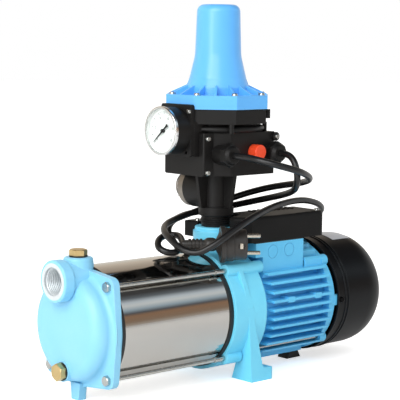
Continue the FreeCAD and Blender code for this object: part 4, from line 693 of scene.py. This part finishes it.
@dataclass(frozen=True)
class GaugeFace:
    """The printing on the gauge's dial: ticks, plain numbers and two red marks.

    Ticks, long and short, run inwards from their radius and are given by length and half angle.
    """

    centre_mm: Point = (-99.0, 0.0, 281.0)
    start_deg: float = 221.0
    sweep_deg: float = 262.0
    divisions: int = 50
    long_every: int = 5
    tick_radius_mm: float = 21.5
    long_tick: tuple[float, float] = (3.0, 0.75)
    short_tick: tuple[float, float] = (1.6, 0.4)
    red_marks_deg: tuple[tuple[float, float], ...] = ((52, 36), (-18, -34))
    red_band_mm: tuple[float, float] = (0.3, 1.6)
    red_steps: int = 6
    top_number: int = 10
    number_step: int = 2
    number_radius_mm: float = 15.2
    number_height_mm: float = 4.2
    ink_mm: float = 0.08

    def place(self, radius: float, degrees: float) -> Vector:
        """Gives the point on the dial at a radius and an angle, as its reader sees it.

        Args:
            radius: Distance from the dial's centre, in millimetres.
            degrees: Angle from the reader's right, anticlockwise.

        Returns:
            The point, in metres.
        """
        angle = math.radians(degrees)
        across, up = radius * math.cos(angle), radius * math.sin(angle)
        return (Vector(self.centre_mm) + Vector((-self.ink_mm, -across, up))) * MM

    def stroke(self, mesh: bmesh.types.BMesh, inner: float, outer: float, start: float,
               end: float, steps: int = 1) -> None:
        """Prints one patch between two radii and two angles.

        Args:
            mesh: Where it is added.
            inner: Its smaller radius, in millimetres.
            outer: Its larger radius.
            start: Its first angle, in degrees.
            end: Its last angle.
            steps: How many flat pieces it is made of.
        """
        for step in range(steps):
            first = start + (end - start) * step / steps
            last = start + (end - start) * (step + 1) / steps
            corners = ((inner, first), (outer, first), (outer, last), (inner, last))
            mesh.faces.new([mesh.verts.new(self.place(*corner)) for corner in corners])

    def print_scale(self) -> None:
        """Prints the ticks and, outside them, the red marks."""
        mesh = bmesh.new()
        for tick in range(self.divisions + 1):
            angle = self.start_deg - self.sweep_deg * tick / self.divisions
            length, half = self.short_tick if tick % self.long_every else self.long_tick
            self.stroke(mesh, self.tick_radius_mm - length, self.tick_radius_mm,
                        angle - half, angle + half)
        mesh_piece("dial_scale", mesh, POINTER_BLACK, "pump", smooth=False)
        red = bmesh.new()
        inner, outer = (self.tick_radius_mm + edge for edge in self.red_band_mm)
        for start, end in self.red_marks_deg:
            self.stroke(red, inner, outer, start, end, self.red_steps)
        mesh_piece("dial_red_marks", red, DIAL_RED, "pump", smooth=False)

    def print_numbers(self) -> None:
        """Prints the numbers, upright to the reader."""
        upright = Matrix(((0, 0, -1), (-1, 0, 0), (0, 1, 0))).to_4x4()
        for number in range(0, self.top_number + 1, self.number_step):
            text = bpy.data.curves.new(f"dial_number_{number}", "FONT")
            text.body = str(number)
            text.size = self.number_height_mm * MM
            text.align_x = "CENTER"
            text.align_y = "CENTER"
            figure = bpy.data.objects.new(text.name, text)
            angle = self.start_deg - self.sweep_deg * number / self.top_number
            spot = Matrix.Translation(self.place(self.number_radius_mm, angle))
            figure.matrix_world = spot @ upright
            bpy.context.scene.collection.objects.link(figure)
            POINTER_BLACK.dress(figure)
            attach(figure, "pump")
            LOG.info("%s: printed on pump", figure.name)


# The turns on the three pipe threads, which the CAD model leaves plain
THREADS = (
    PipeThread("suction_thread", (-247.2, 0, 129.5), (1, 0, 0), 15.05, -0.8, 25.0, CUT_IRON,
               "machined_steel"),
    PipeThread("outlet_thread", (-20, 54, 212), (0, -1, 0), 15.1, -0.75, 19.0, ZINC_ALLOY,
               "chrome_trim"),
    PipeThread("spigot_thread", (-20, 0, 171.2), (0, 0, 1), 16.5, 0.9, 10.5, BLACK_NYLON,
               "black_plastic"),
)
# The plated skin of the cut port, what sits in the controller's groove, and the dial's ring
TURNED_PIECES = (
    TurnedPiece("suction_port_skin", (-249, 0, 129.5), (1, 0, 0),
                ((-0.06, 19.4), (-0.06, 15.09), (26.5, 15.09), (26.5, 15.2), (0.05, 15.2),
                 (0.05, 19.4)), CUT_IRON, "machined_steel"),
    TurnedPiece("groove_bead", (-20, 0, 279), (0, 0, 1),
                ((0, 42), (0, 49.5), (0.8, 51.4), (2.2, 52.6), (3.6, 53), (5, 52.6), (6.4, 51.4),
                 (7.2, 49.5), (7.2, 42)), BLACK_NYLON, "black_plastic"),
    TurnedPiece("groove_post", (24.5, -31, 278.4), (0, 0, 1),
                ((0, 0.4), (0, 2.6), (10.4, 2.6), (10.4, 0.4)), BLACK_NYLON, "black_plastic"),
    TurnedPiece("dial_retaining_ring", (-103, 0, 281), (1, 0, 0),
                ((0, 24.3), (0, 23.8), (3.9, 23.5), (3.9, 24.3)), DIAL_ENAMEL, "dial_white"),
)


class FarEnd(Enum):
    """What a lead ends in."""

    PLUG = "plug"
    TERMINAL_BOX = "object"


@dataclass(frozen=True)
class Lead:
    """A round PVC-jacketed lead that lies along its route, with its length in metres."""

    name: str
    far_end: FarEnd
    length: float
    route_mm: tuple[Point, ...]
    diameter: float = 0.0074
    spline_order: int = 3
    steps_between: int = 8
    round_steps: int = 5

    def lay(self) -> None:
        data = bpy.data.curves.new(self.name + "_jacket", "CURVE")
        data.dimensions = "3D"
        spline = data.splines.new("NURBS")
        spline.points.add(len(self.route_mm) - 1)
        for point, place in zip(spline.points, self.route_mm):
            point.co = (*(axis * MM for axis in place), 1)
        spline.order_u = self.spline_order
        spline.use_endpoint_u = True
        spline.resolution_u = self.steps_between
        data.bevel_depth = self.diameter / 2
        data.bevel_resolution = self.round_steps
        data.use_fill_caps = True
        lead = bpy.data.objects.new(self.name + "_jacket", data)
        bpy.context.scene.collection.objects.link(lead)
        data.materials.append(PVC.material())
        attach(lead, "pump")
        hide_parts(self.name)
        LOG.info("%s: %d points on pump", lead.name, len(self.route_mm))


# Both routes are the CAD model's own
MOTOR_LEAD = Lead("motor_lead", FarEnd.TERMINAL_BOX, 0.7806, (
    (-47, -58, 255), (-47, -75, 255), (-44.5, -94, 252.5), (-32, -111, 247.5), (-8, -118, 241),
    (17, -109, 233.5), (38, -91, 226.5), (50, -67, 220.5), (52, -40, 216), (46, -14, 210.5),
    (32, 10, 202), (9, 28, 191.5), (-18, 37, 182.5), (-45, 39, 176.5), (-75.1, 26, 172.8),
    (-95.6, 3, 168.1), (-102.6, -19, 161.6), (-101.1, -34, 153.4), (-93.5, -50, 150.2),
    (-82.1, -63, 159.5), (-63.8, -70, 172.3), (-35.5, -67, 183.5), (-2.2, -58, 190.9),
    (33.1, -48, 195.1), (65.8, -40, 196.7), (92.8, -35, 195), (121, -29, 188), (140, -16, 178.5),
    (148, 1, 171), (146, 15, 165.5), (139, 23.5, 163), (131, 27, 162.5), (122, 27, 162.5),
))
MAINS_LEAD = Lead("mains_lead", FarEnd.PLUG, 0.4273, (
    (22, -61, 255), (22, -72, 255), (21.5, -82, 248), (21, -87, 237), (23, -86, 225.5),
    (29, -78, 216), (37.5, -61, 209.5), (43, -38, 203.5), (42, -13, 197.5), (33, 11, 191),
    (17, 31, 185), (-3, 44, 181), (-26, 51, 178), (-50, 46, 170.5), (-66, 31, 161),
    (-65.2, 17.9, 151.3), (-82.8, -8.6, 147.1), (-96.3, -7.7, 146), (-102.9, 2.5, 150.3),
    (-97.4, 12.1, 156.7), (-83.2, 19.5, 161.4), (-72.2, 14.4, 162.4), (-69.5, 3.1, 161.7),
    (-86.2, -18.6, 156.3),
))


@dataclass(frozen=True)
class Lamp:
    """One soft box: an area lamp at a place, facing a point. Its power is in watts."""

    name: str
    place: Point
    target: Point
    width: float
    height: float
    power: float
    in_gloss: bool = True

    def hang(self) -> None:
        """Makes the lamp."""
        data = bpy.data.lights.new(self.name, "AREA")
        data.shape = "RECTANGLE"
        data.size = self.width
        data.size_y = self.height
        data.energy = self.power
        lamp = bpy.data.objects.new(self.name, data)
        lamp.location = self.place
        lamp.visible_glossy = self.in_gloss
        lamp.visible_camera = False
        aim = Vector(self.target) - Vector(self.place)
        lamp.rotation_euler = aim.to_track_quat("-Z", "Y").to_euler()
        bpy.context.scene.collection.objects.link(lamp)


@dataclass(frozen=True)
class SeamlessPaper(Finish):
    """Pale studio paper that the camera sees as white, and that keeps the object's shadow.

    The glows are what it adds for the camera, and for gloss and clear things.
    """

    camera_glow: float = 0.62
    gloss_glow: float = 0.15

    def tint(self, tree: bpy.types.NodeTree, shader: bpy.types.Node,
             place: bpy.types.NodeSocket) -> None:
        """Adds an even glow for the rays that look at the paper, and none for the light it gives.

        Args:
            tree: The material's nodes.
            shader: Its surface shader.
            place: Position on the paper, in metres.
        """
        super().tint(tree, shader, place)
        path = add_node(tree, "LightPath")
        near = add_node(tree, "Mix", {FLOAT_A: 0.0, FLOAT_B: self.gloss_glow},
                        {MIX_SHARE: looking_ray(tree)})
        glow = add_node(tree, "Mix", {FLOAT_B: self.camera_glow},
                        {MIX_SHARE: path.outputs["Is Camera Ray"],
                         FLOAT_A: near.outputs[MIXED_FLOAT]})
        shader.inputs["Emission Color"].default_value = linear("#ffffff")
        tree.links.new(glow.outputs[MIXED_FLOAT], shader.inputs["Emission Strength"])


def looking_ray(tree: bpy.types.NodeTree) -> bpy.types.NodeSocket:
    """Gives one for rays from the camera, off gloss and through glass, and nothing for the rest.

    Args:
        tree: The nodes of a material or of the world.

    Returns:
        The test's output.
    """
    path = add_node(tree, "LightPath")
    seen = path.outputs["Is Camera Ray"]
    for kind in ("Is Glossy Ray", "Is Transmission Ray"):
        seen = add_node(tree, "Math", {}, {0: seen, 1: path.outputs[kind]},
                        operation="MAXIMUM").outputs["Value"]
    return seen


@dataclass(frozen=True)
class ArchedCard:
    """A graded card arched over the shaft's axis, which only gloss sees, for the barrel's shine.

    Its tones go by degrees up from the near side: brown low down, one pale opening, then dark
    overhead and beige on the far side. Its sizes are in metres.
    """

    tones: tuple[tuple[float, str], ...] = (
        (0, "#c4bcb2"), (7, "#9f8670"), (18, "#a58063"), (23, "#575a60"), (30, "#b4cbdb"),
        (38, "#f2fbff"), (44, "#dfeefa"), (52, "#6d7780"), (60, "#3f4042"), (88, "#4a4846"),
        (96, "#262324"), (116, "#2c231e"), (123, "#bdae9e"), (150, "#e4d7c6"), (180, "#eae8e0"),
    )
    distance: float = 3.0
    half_length: float = 6.0
    axis_z: float = 0.078

    def hang(self) -> None:
        """Bends the card and gives each of its rows a tone."""
        mesh = bmesh.new()
        tone = mesh.verts.layers.float_color.new("tone")
        rows = []
        for degrees, colour in self.tones:
            angle = math.radians(degrees)
            y, z = -self.distance * math.cos(angle), self.axis_z + self.distance * math.sin(angle)
            rows.append([mesh.verts.new((x, y, z)) for x in (-self.half_length, self.half_length)])
            for corner in rows[-1]:
                corner[tone] = linear(colour)
        join_rings(mesh, rows, closed=False)
        data = bpy.data.meshes.new("arched_card")
        mesh.to_mesh(data)
        mesh.free()
        card = bpy.data.objects.new("arched_card", data)
        bpy.context.scene.collection.objects.link(card)
        data.materials.append(self.paint())
        card.visible_camera = card.visible_diffuse = card.visible_shadow = False
        card.visible_transmission = card.visible_volume_scatter = False

    def paint(self) -> bpy.types.Material:
        """Makes the card's material, which shows its tones and takes no light.

        Returns:
            The material.
        """
        made = bpy.data.materials.new("graded_card")
        made.use_nodes = True
        tree = made.node_tree
        shader = tree.nodes["Principled BSDF"]
        shader.inputs["Base Color"].default_value = linear("#000000")
        shader.inputs["Emission Strength"].default_value = 1.0
        tones = add_node(tree, "Attribute", attribute_name="tone", attribute_type="GEOMETRY")
        tree.links.new(tones.outputs["Color"], shader.inputs["Emission Color"])
        return made


@dataclass(frozen=True)
class Studio:
    """A pale floor, a white surround, soft lamps and the card that only gloss sees."""

    floor_half: float = 9.0
    surround: float = 0.56
    lamps: tuple[Lamp, ...] = (
        Lamp("key_softbox", (-1.65, -0.9, 1.35), (0.0, 0.0, 0.15), 1.5, 1.5, 28.0),
        Lamp("strip_softbox", (-2.0, -0.35, 0.85), (0.0, 0.0, 0.85), 0.55, 1.8, 13.0),
        Lamp("fill_softbox", (1.4, -1.4, 1.1), (0.0, 0.0, 0.15), 1.0, 1.0, 4.0, in_gloss=False),
        Lamp("rear_softbox", (-0.4, 1.8, 1.4), (0.0, 0.0, 0.2), 1.0, 1.0, 10.0, in_gloss=False),
    )
    card: ArchedCard = ArchedCard()

    def set_up(self) -> None:
        """Makes the floor, the world, the lamps and the card, and sets how the picture is shown."""
        scene = bpy.context.scene
        scene.view_settings.view_transform = "Standard"
        self.lay_floor()
        self.light_world(scene)
        for thing in (*self.lamps, self.card):
            thing.hang()

    def lay_floor(self) -> None:
        """Lays a floor that looks white to the camera and still takes the object's shadow."""
        mesh = bpy.data.meshes.new("studio_floor")
        half = self.floor_half
        mesh.from_pydata([(-half, -half, 0), (half, -half, 0), (half, half, 0), (-half, half, 0)],
                         [], [(0, 1, 2, 3)])
        floor = bpy.data.objects.new("studio_floor", mesh)
        bpy.context.scene.collection.objects.link(floor)
        SeamlessPaper("seamless_paper", "#f6f6f5", "#f3f3f2", 0.9, cloud_mm=400).dress(floor)

    def light_world(self, scene: bpy.types.Scene) -> None:
        """Gives the world a soft level of light, and shows it white to the camera and to gloss.

        Args:
            scene: The scene that the world lights.
        """
        world = bpy.data.worlds.new("white_surround")
        world.use_nodes = True
        scene.world = world
        tree = world.node_tree
        background = tree.nodes["Background"]
        level = add_node(tree, "Mix", {FLOAT_A: self.surround, FLOAT_B: 1.0},
                         {MIX_SHARE: looking_ray(tree)})
        background.inputs["Color"].default_value = linear("#ffffff")
        tree.links.new(level.outputs[MIXED_FLOAT], background.inputs["Strength"])


def dress_nodes(nodes: dict[str, bpy.types.Object]) -> None:
    """Gives every CAD node that stays in the model its finish."""
    for name, finish in FINISHES.items():
        finish.dress(nodes[name])


def main() -> None:
    """Builds the picture in order: frame, camera, leads, finishes, pieces and studio."""
    logging.basicConfig(level=logging.INFO, format="%(message)s")
    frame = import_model()
    nodes = frame["nodes"]
    Viewpoint().aim()
    MOTOR_LEAD.lay()
    MAINS_LEAD.lay()
    dress_nodes(nodes)
    for thread in THREADS:
        thread.cut()
    for piece in TURNED_PIECES:
        piece.turn()
    CoilSpring().wind()
    RatingPlate().press()
    face = GaugeFace()
    face.print_scale()
    face.print_numbers()
    Studio().set_up()


if __name__ == "__main__":
    main()
